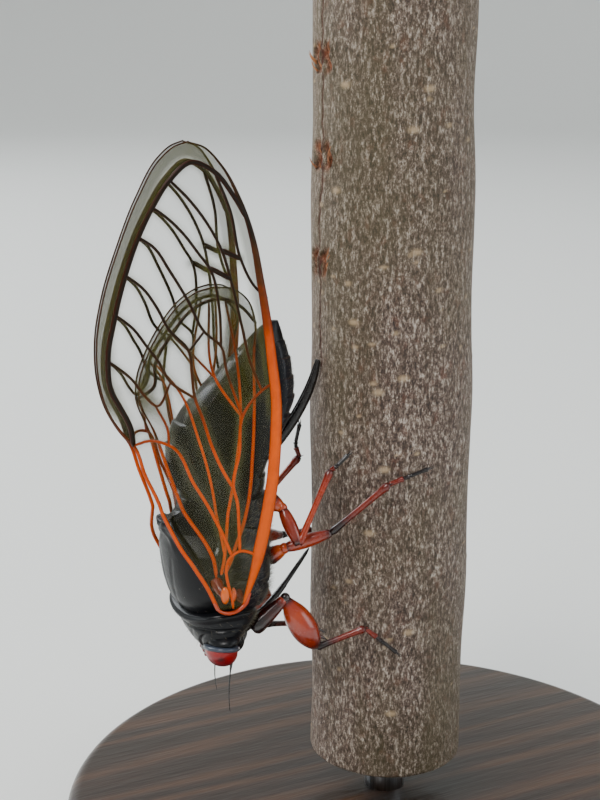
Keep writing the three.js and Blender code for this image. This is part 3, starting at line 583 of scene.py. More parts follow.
def swollen(skin, lift):
    """Moves a skin's points outwards along its normals by lift millimetres."""
    along, across = np.gradient(skin, axis=0), np.roll(skin, -1, 1) - np.roll(skin, 1, 1)
    n = np.cross(along, across)
    n /= np.maximum(np.linalg.norm(n, axis=-1), 1e-9)[..., None]
    centre = skin.mean(1, keepdims=True)
    n *= np.sign(((skin - centre) * n).sum(-1).mean())
    return skin + n * lift[..., None]


chest_x = np.linspace(CHEST[-1][0], CHEST[0][0], CHEST_ROWS)
chest = body_skin(CHEST, CHEST_ROWS, CHEST_SIDES, np.interp(chest_x, [7.2, 9.6], [WING_GAP, 1.05])[:, None])
x, y, z = chest[..., 0], chest[..., 1], chest[..., 2]
top = np.clip((z - 9.5) / 1.5, 0, 1)
lift = -0.07 * top * ridge(np.abs(y) - 0.35 - 0.16 * (12.4 - x), 0.13) * np.clip((x - 8.4) / 1, 0, 1)
lift += 0.13 * top * ridge(np.abs(y) - 0.15 - 0.8 * np.abs(x - 6.75), 0.2) * ridge(x - 6.75, 1.1)
flank = np.clip((8.4 - z) / 1.2, 0, 1)
lift -= 0.12 * flank * (ridge(x - 10.9 + 0.35 * (z - 6), 0.14) + ridge(x - 8.9 + 0.25 * (z - 6), 0.12)
                        + ridge(x - 7.2 + 0.3 * (z - 6), 0.12))
lift -= 0.09 * flank * ridge(z - 6.3 - 0.2 * np.sin(1.5 * x), 0.14)
thorax = closed("thorax_shield", [swollen(chest, lift)],
                {"tone": [0.14 + 0.3 * flank + 0.1 * ridge(x - 6.75, 0.5) * top]})
thorax.data.materials.append(black)
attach(thorax, "root")
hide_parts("thorax")

# Pronotum: the broad shield of hard black cuticle behind the head, with slanting furrows, a raised rim
# and a flared collar that laps over the front of the thorax.
HEAD_ROLL, NECK_X, NECK_LONG, NECK_Z = np.radians(10), 12.9, 1.9, 8.62
SHIELD = [[12.9, 3.8, 6.05, 10.95, 0.044], [12.98, 3.85, 6, 11, 0.044], [13.15, 3.95, 5.9, 11.1, 0.05],
          [13.6, 3.9, 6.05, 10.8, 0.05], [14.4, 3.85, 6.6, 10.35, 0.05], [15.1, 3.7, 7.1, 9.9, 0.06],
          [15.5, 3.4, 7.4, 9.6, 0.07]]


def rolled(p):
    """The head is rolled to its right about the body's middle line at NECK_Z, and the prothorax
    follows it by a smooth step from NECK_X over NECK_LONG."""
    p = np.array(p, float)
    a = HEAD_ROLL * smooth((p[..., 0] - NECK_X) / NECK_LONG)
    y, z = p[..., 1].copy(), p[..., 2] - NECK_Z
    p[..., 1], p[..., 2] = y * np.cos(a) - z * np.sin(a), NECK_Z + y * np.sin(a) + z * np.cos(a)
    return p


shield = body_skin(SHIELD, 120, 144)
x, y, z = shield[..., 0], shield[..., 1], shield[..., 2]
top = np.clip((z - 8) / 1.2, 0, 1)
lift = -0.12 * top * ridge(x - 13.75 + 0.02 * y * y, 0.13)
lift -= 0.09 * top * (ridge(np.abs(y) - 0.5 - 0.75 * (15.2 - x), 0.14)
                      + ridge(np.abs(y) - 1.5 - 0.9 * (15.3 - x), 0.14)) * np.clip((x - 13.8) / 0.3, 0, 1)
lift += 0.05 * top * ridge(y, 0.2) * np.clip((x - 13.9) / 0.3, 0, 1)
pronotum = closed("pronotum_shield", [rolled(swollen(shield, lift))],
                  {"tone": [0.16 + 0.12 * ridge(x - 13.0, 0.25)]})
pronotum.data.materials.append(black)
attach(pronotum, "root")
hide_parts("pronotum")

# Head: a short crown between the eyes, a swollen ribbed face that slopes back under it to the beak,
# cheek plates and the sockets of the antennae, all of one hard black capsule.
CROWN = [[15.2, 2.6, 6.4, 9.45, 0.2], [15.95, 2.5, 6.7, 9.35, 0.18], [16.3, 2.4, 6.85, 9.25, 0.16],
         [16.6, 2.05, 7.05, 9.0, 0.12], [16.85, 1.5, 7.2, 8.6, 0.1], [17.0, 0.9, 7.4, 8.1, 0.1]]
crown = body_skin(CROWN, 90, 120)
x, y, z = crown[..., 0], crown[..., 1], crown[..., 2]
lift = -0.08 * ridge(np.abs(y) - 0.9 - 0.3 * (17.2 - x), 0.14) * np.clip((z - 7.5) / 1, 0, 1)


def egg(centre, radii, rows=40, cols=48):
    """Grid of an ellipsoid from its centre and three radii, with its poles along x."""
    u = np.linspace(0.03, np.pi - 0.03, rows)[:, None]
    v = np.linspace(0, 2 * np.pi, cols, endpoint=False)
    d = np.stack([np.cos(u) + 0 * v, np.sin(u) * np.cos(v), np.sin(u) * np.sin(v)], -1)
    return np.array(centre) + np.array(radii) * d


face = egg((15.75, 0, 7.3), (1.35, 1.25, 1.1), 60, 64)
face[..., 2] += 0.42 * (face[..., 0] - 15.75)
fy, fz = face[..., 1], face[..., 2]
ribs = 0.05 * np.sin(9.5 * (fz + 0.25 * np.abs(fy))) * np.clip((np.abs(fy) - 0.22) / 0.2, 0, 1)
face = swollen(face, ribs - 0.1 * ridge(fy, 0.1))
cheeks = [egg((15.1, s * 1.4, 7.2), (0.6, 0.7, 0.55)) for s in (1, -1)]
temples = [egg((14.35, s * 2.85, 8.5), (0.6, 1.42, 1.08)) for s in (1, -1)]
sockets = [egg((16.45, s * 1.62, 7.65), (0.26, 0.26, 0.26)) for s in (1, -1)]
head = closed("head_capsule", [rolled(k) for k in
                               [swollen(crown, lift), face, *cheeks, *temples, *sockets]],
              {"tone": [0.14, 0.2, 0.25, 0.25, 0.14, 0.14, 0.3, 0.3]})
head.data.materials.append(black)
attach(head, "root")
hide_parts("head")

# Eyes: bulging red compound eyes of fine facets, each in a smooth grey-blue rim at the head's side, and
# three small red simple eyes that sit like beads on the crown. Each compound eye has a painted dark spot of
# shade on its front, where it faces the camera.
EYE_X, EYE_Y = 15.1, 2.9
EYE_DEEP, EYE_WIDE, EYE_TALL = 1.22, 1.44, 1.1
RIM_BACK, RIM_SHARE = [-0.04, -0.12, -0.26, -0.34], [1.06, 1.1, 1.07, 0.85]
HANDS = ((1, "left"), (-1, "right"))
red, tree, shader = finish("red_eye", Roughness=0.4, Coat_Weight=0.5, Coat_Roughness=0.07,
                           Specular_IOR_Level=0.2)
place = node(tree, "TexCoord").outputs["Object"]
facets = node(tree, "TexVoronoi", {"feature": "SMOOTH_F1"}, Vector=place, Scale=26000.0)
glow = relief(tree, 900.0)
colour = ramp(tree, mark(tree, "dome"), [(0.0, "960a04"), (1.0, "560010"), (0.45, "90000c")])
# Painted shade: a dark spot darkens the eye where it faces the camera.
colour = mix(tree, sums(tree, "MULTIPLY", mark(tree, "painted_pupil_shade"), 0.85), colour, rgb("180105"))
colour = mix(tree, sums(tree, "MULTIPLY", glow.outputs["Shade"], 0.35), colour, rgb("460008"))
tree.links.new(mix(tree, mark(tree, "rim"), colour, rgb("39404d")), shader.inputs["Base Color"])
bump(tree, shader, facets.outputs["Distance"], 0.000006, 0.7)
u = np.linspace(0.04, np.pi / 2, 40)
a = np.linspace(0, 2 * np.pi, 64, endpoint=False)
forward = np.concatenate([EYE_DEEP * np.cos(u), RIM_BACK])[:, None]
r = np.concatenate([np.sin(u) ** 0.85, RIM_SHARE])[:, None]
outward, rise = EYE_WIDE * r * np.cos(a), EYE_TALL * r * np.sin(a)
for s, hand in HANDS:
    dome = np.stack([EYE_X + forward - 0.22 * outward - 0.12 * rise, s * (EYE_Y + outward),
                     NECK_Z + rise], -1)
    # This mark places the painted dark spot of shade where the eye faces the camera.
    eye = closed("eye_dome_" + hand, [rolled(dome)], {
        "dome": [forward / EYE_DEEP], "rim": [1.0 * (forward < -0.02)],
        "painted_pupil_shade": [ridge(dome[..., 0] - 15.32, 0.2) * ridge(dome[..., 2] - 8.95, 0.24)]})
    eye.data.materials.append(red)
    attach(eye, "root")
    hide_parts("eye_" + hand)
ocelli = closed("simple_eyes", [rolled(egg(c, (0.16, 0.16, 0.13), 16, 20)) for c in
                                ((16.1, 0.42, 9.22), (16.1, -0.42, 9.22), (16.6, 0, 9.0))],
                {"dome": [0.6] * 3, "painted_pupil_shade": [0.0] * 3, "rim": [0.0] * 3})
ocelli.data.materials.append(red)
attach(ocelli, "root")

# Antennae and beak, all of hard dark cuticle. Each antenna has two thick base joints in its socket and
# a black bristle. The beak is a jointed tube that folds back under the head and rests on the bark.
dark = cuticle("dark_cuticle", [(0.0, "060505"), (1.0, "7a3414"), (0.5, "1d100b")], gloss=0.28)
t = np.linspace(0, 1, 60)
thick = np.interp(t, [0, 0.02, 0.09, 0.11, 0.17, 0.19, 0.5, 0.94, 1],
                  [0.08, 0.12, 0.11, 0.09, 0.08, 0.055, 0.045, 0.028, 0.01])
for s, hand in HANDS:
    path = np.stack([16.5 + 3.8 * t, s * (1.7 + 0.3 * np.sin(2.6 * t)), 7.6 + 0.3 * np.sin(2.4 * t)], -1)
    antenna = closed("antenna_bristle_" + hand, [rolled(tube(path, thick, sides=12))],
                     {"tone": [0.35 * (t < 0.18)[:, None]]})
    antenna.data.materials.append(dark)
    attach(antenna, "root")
    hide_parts("antenna_" + hand)
BEAK = [[15.5, 0, 6.8], [14.8, 0, 5.5], [13.4, -0.3, 3.5], [11.9, -0.8, 1.7], [10.6, -1.2, 0.3]]
t = np.linspace(0, 1, 70)
thick = np.interp(t, [0, 0.2, 0.3, 0.33, 0.6, 0.63, 0.95, 1],
                  [0.42, 0.4, 0.3, 0.27, 0.22, 0.19, 0.13, 0.05])
beak = closed("rostrum_beak", [tube(curve(BEAK, 70), thick, sides=16)], {"tone": [0.25 - 0.2 * t[:, None]]})
beak.data.materials.append(dark)
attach(beak, "root")
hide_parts("rostrum")

# Ovipositor: a curved blade of hard black cuticle, made of two valves side by side. It is hinged under
# the abdomen and swung down out of its groove, with its tip in the bark.
t = np.linspace(0, 1, 70)
path = np.stack([2.6 - 6.15 * t, 0 * t, 4.05 - 6.3 * t + 2.5 * t * t], -1)
thick = np.interp(t, [0, 0.1, 0.3, 0.6, 0.85, 1], [0.2, 0.34, 0.36, 0.33, 0.25, 0.12])
valves = [tube(path + [0, o, 0], thick * 0.62, thick, 20) for o in (0.12, -0.12)]
blade = closed("ovipositor_blade", valves, {"tone": [0.1 + 0.1 * t[:, None]] * 2})
blade.data.materials.append(dark)
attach(blade, "root")
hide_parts("ovipositor")

# Wings: a clear stiff film stretched on a net of tubular veins, folded along the body. The costal edge
# is a broad bright orange bar, the veins are orange near the body and brown black outwards, and the
# outer border is stained olive. Curves are rows of (x, z) on the wing's middle surface.
FORE_COSTA = [[11.7, 7.9], [8.55, 6.82], [5.8, 6.2], [3.1, 5.7], [0.5, 5.25], [-2, 4.94],
              [-4.6, 4.94], [-7.2, 5.08], [-9.8, 5.38], [-12.4, 5.77], [-13.9, 6.15], [-15, 6.54],
              [-17.25, 7.7], [-18.5, 8.9], [-18.8, 9.84]]
FORE_HEM = [[11.7, 9.85], [10.2, 10.45], [8.8, 11.2], [7.5, 11.85], [6.3, 12.2], [5.1, 12.5],
            [2.8, 13.4], [0.75, 14.1], [-0.2, 14.85], [-1.9, 15.8], [-3.6, 16.25], [-6.2, 16.35],
            [-9.1, 15.8], [-12.2, 14.7], [-15.4, 13.26], [-17.8, 11.7], [-18.5, 10.8], [-18.8, 9.84]]
# Each vein: half width at its start and end, how dark it is, and its junctions (x, z).
FORE_VEINS = [
    (0.16, 0.19, 0.9, [[-13.85, 6.32], [-15.3, 7.1], [-16.84, 8.26], [-17.5, 9.7], [-16.4, 11.2],
                       [-14.73, 12.39], [-12.89, 13.39], [-10.54, 14.34], [-8.04, 15.11],
                       [-5.11, 15.7], [-3.1, 15.55], [-2.1, 15.1], [-0.6, 14.4], [0.75, 14.1]]),
    (0.1, 0.1, 0, [[11.7, 8.85], [7.92, 8.99], [7.63, 8.45], [7.78, 7.83], [8.55, 6.82]]),
    (0.11, 0.1, 0, [[7.63, 8.45], [4.16, 8.52], [3.39, 8.71], [1, 8.2], [-1.22, 7.76],
                     [-2.73, 6.23], [-3.3, 4.94]]),
    (0.095, 0.105, 0, [[-1.22, 7.76], [-4.25, 8.45], [-5.71, 8.61], [-6.73, 9.63], [-8.62, 10.44],
                     [-10.78, 11.58], [-12.22, 12.46], [-12.89, 13.39]]),
    (0.095, 0.105, 0, [[-5.71, 8.61], [-8.1, 8.5], [-10.78, 8.96], [-11.7, 9.6], [-12.95, 10.47],
                     [-13.94, 11.39], [-14.73, 12.39]]),
    (0.095, 0.105, 0, [[-2.73, 6.23], [-4.75, 6.8], [-7.01, 7.11], [-10, 7.61], [-11.88, 8.09],
                     [-13.38, 8.8], [-15.14, 10.01], [-16.4, 11.2]]),
    (0.095, 0.11, 0.3, [[-8.6, 5.22], [-9.32, 5.96], [-11.24, 6.86], [-14.3, 7.35], [-16.84, 8.26]]),
    (0.17, 0.17, 1, [[-11.24, 6.86], [-11.88, 8.09]]),
    (0.17, 0.17, 1, [[-10, 7.61], [-10.78, 8.96]]),
    (0.11, 0.1, 0, [[3.39, 8.71], [2.2, 9.3], [0.43, 9.91], [-1.2, 10.3], [-2.56, 10.67],
                     [-4, 10.7], [-5.53, 10.73], [-6.99, 11.87], [-8.42, 12.52], [-9.6, 13.26],
                     [-10.54, 14.34]]),
    (0.09, 0.09, 0.2, [[-5.53, 10.73], [-6.73, 9.63]]),
    (0.1, 0.1, 0, [[-2.56, 10.67], [-3.64, 12.05], [-5.1, 12.75], [-5.98, 13.33], [-7.1, 14.06],
                     [-8.04, 15.11]]),
    (0.09, 0.1, 0, [[-3.64, 12.05], [-2.12, 13.05], [-2.6, 13.5], [-3.9, 14.37], [-5.11, 15.7]]),
    (0.09, 0.09, 0, [[-2.12, 13.05], [-0.44, 12.35], [0.54, 12.28]]),
    (0.12, 0.1, 0, [[7.92, 8.99], [5.24, 9.87], [3.17, 10.9], [0.54, 12.28], [0.3, 13.3],
                     [0.75, 14.1]]),
]
HIND_COSTA = [[10.6, 9.2], [8.2, 8.3], [6, 7.45], [2, 6.8], [-2, 6.2], [-5, 5.85], [-6.8, 5.6],
              [-8.5, 6.1], [-9.2, 7], [-9.35, 8]]
HIND_HEM = [[10.6, 9.4], [8.2, 9.8], [5.5, 11], [3, 11.8], [0, 12.7], [-2.4, 13.6], [-3.7, 13.5],
            [-5.2, 12.9], [-6.86, 11.9], [-8.5, 10.4], [-9.1, 9.3], [-9.35, 8]]
HIND_VEINS = [
    (0.11, 0.12, 0.8, [[-6.8, 5.6], [-8, 6.6], [-8.5, 7.6], [-8.45, 8.7], [-7.9, 9.9],
                       [-6.4, 11.3], [-4.6, 12.5], [-3.1, 12.7], [-2.4, 13.6]]),
    (0.12, 0.085, -0.4, [[10.2, 9.3], [8.2, 9], [3, 8.2], [-1, 7.4], [-4.6, 7.2], [-8.5, 7.6]]),
    (0.1, 0.085, -0.4, [[-1, 7.4], [-3.5, 8.8], [-8.45, 8.7]]),
    (0.085, 0.085, -0.3, [[-3.5, 8.8], [-5.2, 10.2], [-6.4, 11.3]]),
    (0.1, 0.085, -0.4, [[8.2, 9], [4, 9.5], [0.5, 10.2], [-3, 11.3], [-4.6, 12.5]]),
]
# Half width and tone of the costal bar, and of the hem's thin vein, each as places x and values.
FORE_BAR = ([-18.8, -17, -15, -12, -8.6, -4, 3, 8, 11.7],
            [0.06, 0.09, 0.15, 0.23, 0.3, 0.37, 0.44, 0.46, 0.12])
FORE_TONE = ([-18, -14, -9, -7, -5.5, 0, 12], [0.25, 0.3, 0.5, 0.6, 0.85, 0.97, 1.0])
HIND_BAR = ([-9.4, -7, -4, 8.2], [0.05, 0.08, 0.11, 0.14])
HIND_TONE = ([-9.4, -7, -5, 0, 8], [0.08, 0.2, 0.6, 0.9, 0.9])
HEM_BAR = ([-18, -1, 1, 6, 11], [0.05, 0.06, 0.12, 0.13, 0.14])
HEM_TONE = ([-18, -4, 0.5, 1.5], [0.3, 0.3, 0.5, 0.85])
FILM_HALF, VEIN_SIDES, EDGE_STEPS = 0.025, 10, 150


def on_wing(xz, hand, sink):
    """Places rows of (x, z) on the wing's middle surface, sink millimetres inside it."""
    x, z = np.asarray(xz, float)[..., 0], np.asarray(xz, float)[..., 1]
    return np.stack([x, hand * (wing_y(x, z) - sink), z], -1)


def nearest(points, line):
    """Distance from each point (x, z) to a polyline of (x, z)."""
    a, b = line[:-1], line[1:]
    ab = b - a
    t = np.clip(((points[..., None, :] - a) * ab).sum(-1) / (ab ** 2).sum(-1), 0, 1)
    return np.linalg.norm(points[..., None, :] - (a + t[..., None] * ab), axis=-1).min(-1)


def film(costa, hem, hand, sink, rows, cols):
    """Closed thin film between the costal and the hem curve: the grid runs root to tip, and each row
    crosses on the outer face and returns on the inner one. Returns it with its points (x, z)."""
    c, d = curve(costa, rows)[:-1], curve(hem, rows)[:-1]
    s = np.linspace(0, 1, cols)[:, None]
    flat = c[:, None] * (1 - s) + d[:, None] * s
    outer, inner = on_wing(flat, hand, sink - FILM_HALF), on_wing(flat, hand, sink + FILM_HALF)
    return np.concatenate([outer, inner[:, ::-1]], 1), np.concatenate([flat, flat[:, ::-1]], 1)


VEIN_STOPS = [(0.0, "0d0a02"), (1.0, "e05800"), (0.22, "1d1504"), (0.45, "452406"), (0.62, "8c3200"),
              (0.8, "c04400")]
vein_skin, tree, shader = finish("vein_cuticle", Coat_Weight=0.05, Coat_Roughness=0.15, Roughness=0.42,
                                 Specular_IOR_Level=0.15)
grit = relief(tree, 1400.0)
tone = sums(tree, "ADD", mark(tree, "tone"),
            sums(tree, "MULTIPLY", sums(tree, "SUBTRACT", grit.outputs["Shade"], 0.5), 0.3))
colour = ramp(tree, tone, VEIN_STOPS)
# Painted highlight and shade: each vein is paler along its crest and darker red at its sides, as a lit
# round tube looks.
colour = mix(tree, sums(tree, "MULTIPLY", sums(tree, "SUBTRACT", 1.0, mark(tree, "painted_crest_light")), 0.7),
             colour, mix(tree, 0.6, colour, rgb("5a1400")))
tree.links.new(colour, shader.inputs["Base Color"])
bump(tree, shader, grit.outputs["Height"], 0.00001)

clear, tree, shader = finish("wing_film", Roughness=0.18, Specular_IOR_Level=0.6, IOR=1.5)
wrinkle = relief(tree, 420.0, 0.6, 0.5)
stain = mark(tree, "stain")
# Painted highlight: sparse pale specks, made more opaque than the clear film, stand in for glints of light
# on it.
painted_glint = ramp(tree, relief(tree, 900.0, 0.35, 0.6).outputs["Shade"], [(0.7, "000000"), (0.74, "ffffff")])
colour = ramp(tree, stain, [(0.0, "6e6c40"), (1.0, "241a08"), (0.5, "5c5a12")])
tree.links.new(mix(tree, painted_glint, colour, rgb("c8ccc8")), shader.inputs["Base Color"])
edge_on = node(tree, "LayerWeight", Blend=0.25).outputs["Fresnel"]
veil = sums(tree, "ADD", sums(tree, "MULTIPLY", stain, 0.45), 0.022)
veil = sums(tree, "ADD", veil, sums(tree, "MULTIPLY", painted_glint, 0.16))
tree.links.new(sums(tree, "ADD", veil, sums(tree, "MULTIPLY", edge_on, 0.2), True),
               shader.inputs["Alpha"])
bump(tree, shader, wrinkle.outputs["Shade"], 0.0002, 0.25)


def stained(flat, margin, veins, band):
    """Stain of the film at the points flat: band near the outer margin, a cloud along each vein,
    darkest at the cross marks (veins of darkness 1), and a tinge near the root."""
    out = nearest(flat, margin[margin[:, 0] < 0.5])
    stain = band * np.clip((1.25 - out) / 0.5, 0, 1) * np.clip((-flat[..., 0] - 0.5) / 1.5, 0, 1)
    for *_, shade, row in veins:
        near = nearest(flat, curve(row, 24) if len(row) > 2 else np.asarray(row, float))
        stain = np.maximum(stain, 0.85 * ridge(near, 0.42) if shade == 1 else 0.34 * ridge(near, 0.3))
    return np.maximum(stain, 0.12 * np.clip((flat[..., 0] - 6) / 4, 0, 1))


def vein_tone(xz, dark):
    """Tone of a vein: bright near the root, falling outwards and towards the hem, less 0.6 of dark."""
    far = np.clip(1.5 - xz[:, 0] + 0.4 * np.clip(xz[:, 1] - 8.5, 0, 6), 0, 12)
    return np.clip(np.clip(0.86 - 0.075 * far, 0.12, 1) - 0.6 * dark, 0.04, 1)


def wing(name, hand, costa, hem, veins, bar, bar_tone, band, sink, rows, cols):
    """A wing's film and its veins as two pieces. hand is 1 for the left. bar and bar_tone are the
    costal bar's half width and tone along x, and band is the stain of the outer border."""
    skin, flat = film(costa, hem, hand, sink, rows, cols)
    front, rear = curve(costa, EDGE_STEPS), curve(hem, EDGE_STEPS)
    sheet = closed(name + "_film", [skin],
                   {"stain": [stained(flat, np.concatenate([front, rear[-2::-1]]), veins, band)]})
    sheet.data.materials.append(clear)
    tubes, tones = [], []

    def add(xz, wide, high, tone):
        """A vein along rows of (x, z), wide in the wing's surface and high across it."""
        tubes.append(tube(on_wing(xz, hand, sink), high, wide, VEIN_SIDES))
        tones.append(tone[:, None])

    for start, end, dark, row in veins:
        long = np.linalg.norm(np.diff(row, axis=0), axis=1).sum()
        count = max(8, int(long * 3.2))
        line = curve(row, count)
        wide = np.linspace(start, end, count)
        wide[[0, -1]] *= 0.7
        add(line, wide, wide * 0.8, vein_tone(line, dark))
    half = np.interp(front[:, 0], *bar)
    along_x, along_z = np.gradient(front, axis=0).T
    inward = np.stack([-along_z, along_x], -1)
    inward /= np.linalg.norm(inward, axis=1)[:, None]
    inward *= np.sign((inward * (np.mean(hem, 0) - front)).sum(-1))[:, None]
    tone = np.interp(front[:, 0], *bar_tone) - 0.3 * ridge(front[:, 0] + 13.6, 1.1)
    add(front + inward * half[:, None] * 0.9, half, np.minimum(half * 0.55, 0.24), np.clip(tone, 0.05, 1))
    thin = np.interp(rear[:, 0], *HEM_BAR)
    add(rear, thin, thin * 0.8, np.interp(rear[:, 0], *HEM_TONE))
    # Painted highlight and shade on the veins: 1 along each tube's crest, falling to 0 at its sides.
    painted_crest_light = np.abs(np.cos(np.linspace(0, 2 * np.pi, VEIN_SIDES, endpoint=False))) ** 1.5
    net = closed(name + "_veins", tubes, {"tone": tones, "painted_crest_light": [painted_crest_light] * len(tubes)})
    net.data.materials.append(vein_skin)
    return sheet, net


# Each kind of wing: its edges, veins and costal bar, the border's stain, how deep it lies under the
# forewing's middle surface, and the rows and columns of its film.
WINGS = {"forewing": (FORE_COSTA, FORE_HEM, FORE_VEINS, FORE_BAR, FORE_TONE, 0.72, 0, 170, 60),
         "hindwing": (HIND_COSTA, HIND_HEM, HIND_VEINS, HIND_BAR, HIND_TONE, 0.75, 1.15, 90, 40)}
for s, hand in HANDS:
    for kind, form in WINGS.items():
        sheet, net = wing(kind + "_" + hand, s, *form)
        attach(sheet, "root")
        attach(net, "root")
        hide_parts(kind + "_" + hand)

# Wing hinges: small hard knobs of bright orange cuticle at the root of each forewing, held to the
# thorax by two dark struts and framed by a bent rib.
hinge_skin = cuticle("hinge_cuticle", [(0.0, "541200"), (1.0, "d86000"), (0.6, "a83400")],
                     gloss=0.24, coat=0.4)


def taper(points, steps, start, end, sides=12, across=(0, 1, 0)):
    """Tube along the smooth curve through points, its radius running evenly from start to end."""
    return tube(curve(points, steps), np.linspace(start, end, steps), sides=sides, across=across)


for s, hand in HANDS:
    rib = curve([[11.2, s * 4.0, 10.1], [11.75, s * 4.1, 9.8], [12.05, s * 4.1, 9.2],
                 [12.0, s * 4.1, 8.5], [11.6, s * 4.1, 7.9], [10.8, s * 4.25, 7.6]], 40)
    rib_r = np.interp(np.linspace(0, 1, 40), [0, 0.2, 0.8, 1], [0.08, 0.11, 0.17, 0.1])
    knobs = [egg((10.7, s * 4.2, 9.4), (0.6, 0.26, 0.3), 24, 28),
             egg((10.75, s * 4.2, 8.8), (0.5, 0.22, 0.2), 24, 28),
             taper([[10.2, s * 3.0, 9.5], [10.5, s * 3.7, 9.5], [10.8, s * 4.2, 9.4]], 16, 0.5, 0.24,
                   16, (1, 0, 0)),
             taper([[11.2, s * 3.0, 8.0], [11.4, s * 3.6, 8.0], [11.55, s * 4.1, 8.0]], 16, 0.42, 0.18,
                   16, (1, 0, 0)),
             tube(rib, rib_r, sides=14)]
    hinge = closed("wing_hinge_" + hand, knobs, {"tone": [0.9, 0.75, 0.2, 0.1, 0.6]})
    hinge.data.materials.append(hinge_skin)
    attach(hinge, "root")

# Legs: glossy orange-red coxae and femora, darker shins and black jointed feet with paired claws, all
# of hard cuticle. The front femora are swollen and spined. Each leg is given by its hip, the ring
# between coxa and femur, its knee, its ankle and its toe's tip.
LEGS = {
    "front_left": [[13.6, 2.3, 5.45], [12.45, 2.5, 4.1], [16.1, 3.5, 2.15], [14.95, 4.5, -1.15],
                   [16.7, 5.7, -3.05]],
    "front_right": [[13.6, -2.3, 5.45], [12.45, -2.4, 4.1], [16.6, -3, 2.9], [17.9, -4.8, -0.9],
                    [18.9, -5.85, -3.2]],
    "mid_left": [[9.5, 1.6, 4.35], [8.84, 2.4, 4.1], [7.84, 3.58, 1.1], [4.23, 5.75, -2.2],
                 [3.4, 6.2, -5.0]],
    "mid_right": [[9.5, -1.6, 4.35], [9.4, -2.4, 4.0], [10.2, -3.7, 1.3], [10.8, -5.3, -2.0],
                  [11.1, -6.35, -4.9]],
    "hind_left": [[5.3, 1.6, 4.3], [6.0, 2.2, 4.15], [8.2, 3.8, 3.7], [3.45, 3.2, 0.95],
                  [2.5, 3.4, -0.3]],
    "hind_right": [[5.3, -1.6, 4.3], [6.0, -2.2, 4.15], [7.7, -3.5, 3.4], [4.2, -3, 0.15],
                   [1.7, -2.75, 0.25]],
}
LEG_STOPS = [(0.0, "060303"), (1.0, "d06000"), (0.22, "1c0604"), (0.45, "561004"), (0.65, "8c2200"),
             (0.85, "b03c00")]
leg_upper = cuticle("orange_leg", LEG_STOPS, gloss=0.24, per_metre=1800.0, coat=0.9)
leg_lower = cuticle("dark_leg", LEG_STOPS, gloss=0.28, per_metre=2600.0, coat=0.5)
# Radii and tones of the leg's joints, at these shares of their length.
SHARES = np.array([0, 0.04, 0.12, 0.3, 0.5, 0.7, 0.86, 0.95, 1])
COXA = [0.3, 0.5, 0.6, 0.6, 0.55, 0.48, 0.4, 0.34, 0.2]
FRONT_THIGH = [0.24, 0.34, 0.5, 0.82, 0.96, 0.92, 0.68, 0.46, 0.26]
THIGH = [0.22, 0.3, 0.38, 0.46, 0.48, 0.44, 0.36, 0.32, 0.24]
SHIN = [0.2, 0.27, 0.25, 0.22, 0.21, 0.22, 0.25, 0.29, 0.2]
TOE = np.array([0.5, 0.8, 0.85, 0.85, 0.85, 0.9, 1, 1.05, 0.7])
FRONT_COXA_TONE = [0.15, 0.15, 0.2, 0.26, 0.3, 0.25, 0.45, 0.75, 0.8]
COXA_TONE = [0.15, 0.15, 0.15, 0.2, 0.5, 0.8, 0.9, 0.9, 0.9]
THIGH_TONE = [0.1, 0.3, 0.66, 0.74, 0.68, 0.62, 0.56, 0.4, 0.2]
SHIN_TONE = [0.1, 0.12, 0.16, 0.36, 0.5, 0.55, 0.52, 0.45, 0.35]
HIND_SHIN_TONE = [0.4, 0.62, 0.7, 0.75, 0.72, 0.7, 0.65, 0.5, 0.3]
# The foot's three joints: start and end as shares of the foot, radius and tone.
TOES = [(0.0, 0.36, 0.2, 0.5), (0.36, 0.52, 0.17, 0.15), (0.52, 1.0, 0.16, 0.06)]
# Spines: place along the front femur and length, and places along every shin.
THIGH_SPINES = [(0.36, 0.75), (0.52, 1.25), (0.7, 0.95)]
SHIN_SPINES = (0.35, 0.6, 0.8, 0.97, 0.97)
LIMB_STEPS = 40


def limb(a, b, radii, steps=LIMB_STEPS, sides=20):
    """Straight leg joint from a to b, with radii at the SHARES and a cubic between them."""
    t = np.linspace(0, 1, steps)
    r = hermite(SHARES, np.array(radii, float)[:, None], t)[:, 0]
    d = (b - a) / np.linalg.norm(b - a)
    across = (0, 1, 0) if abs(d[1]) < 0.8 else (1, 0, 0)
    return tube(a + (b - a) * t[:, None], np.maximum(r, 0.02), sides=sides, across=across)


def along(values):
    """A tone for each ring of a limb, from the values at the SHARES."""
    return np.interp(np.linspace(0, 1, LIMB_STEPS), SHARES, values)[:, None]


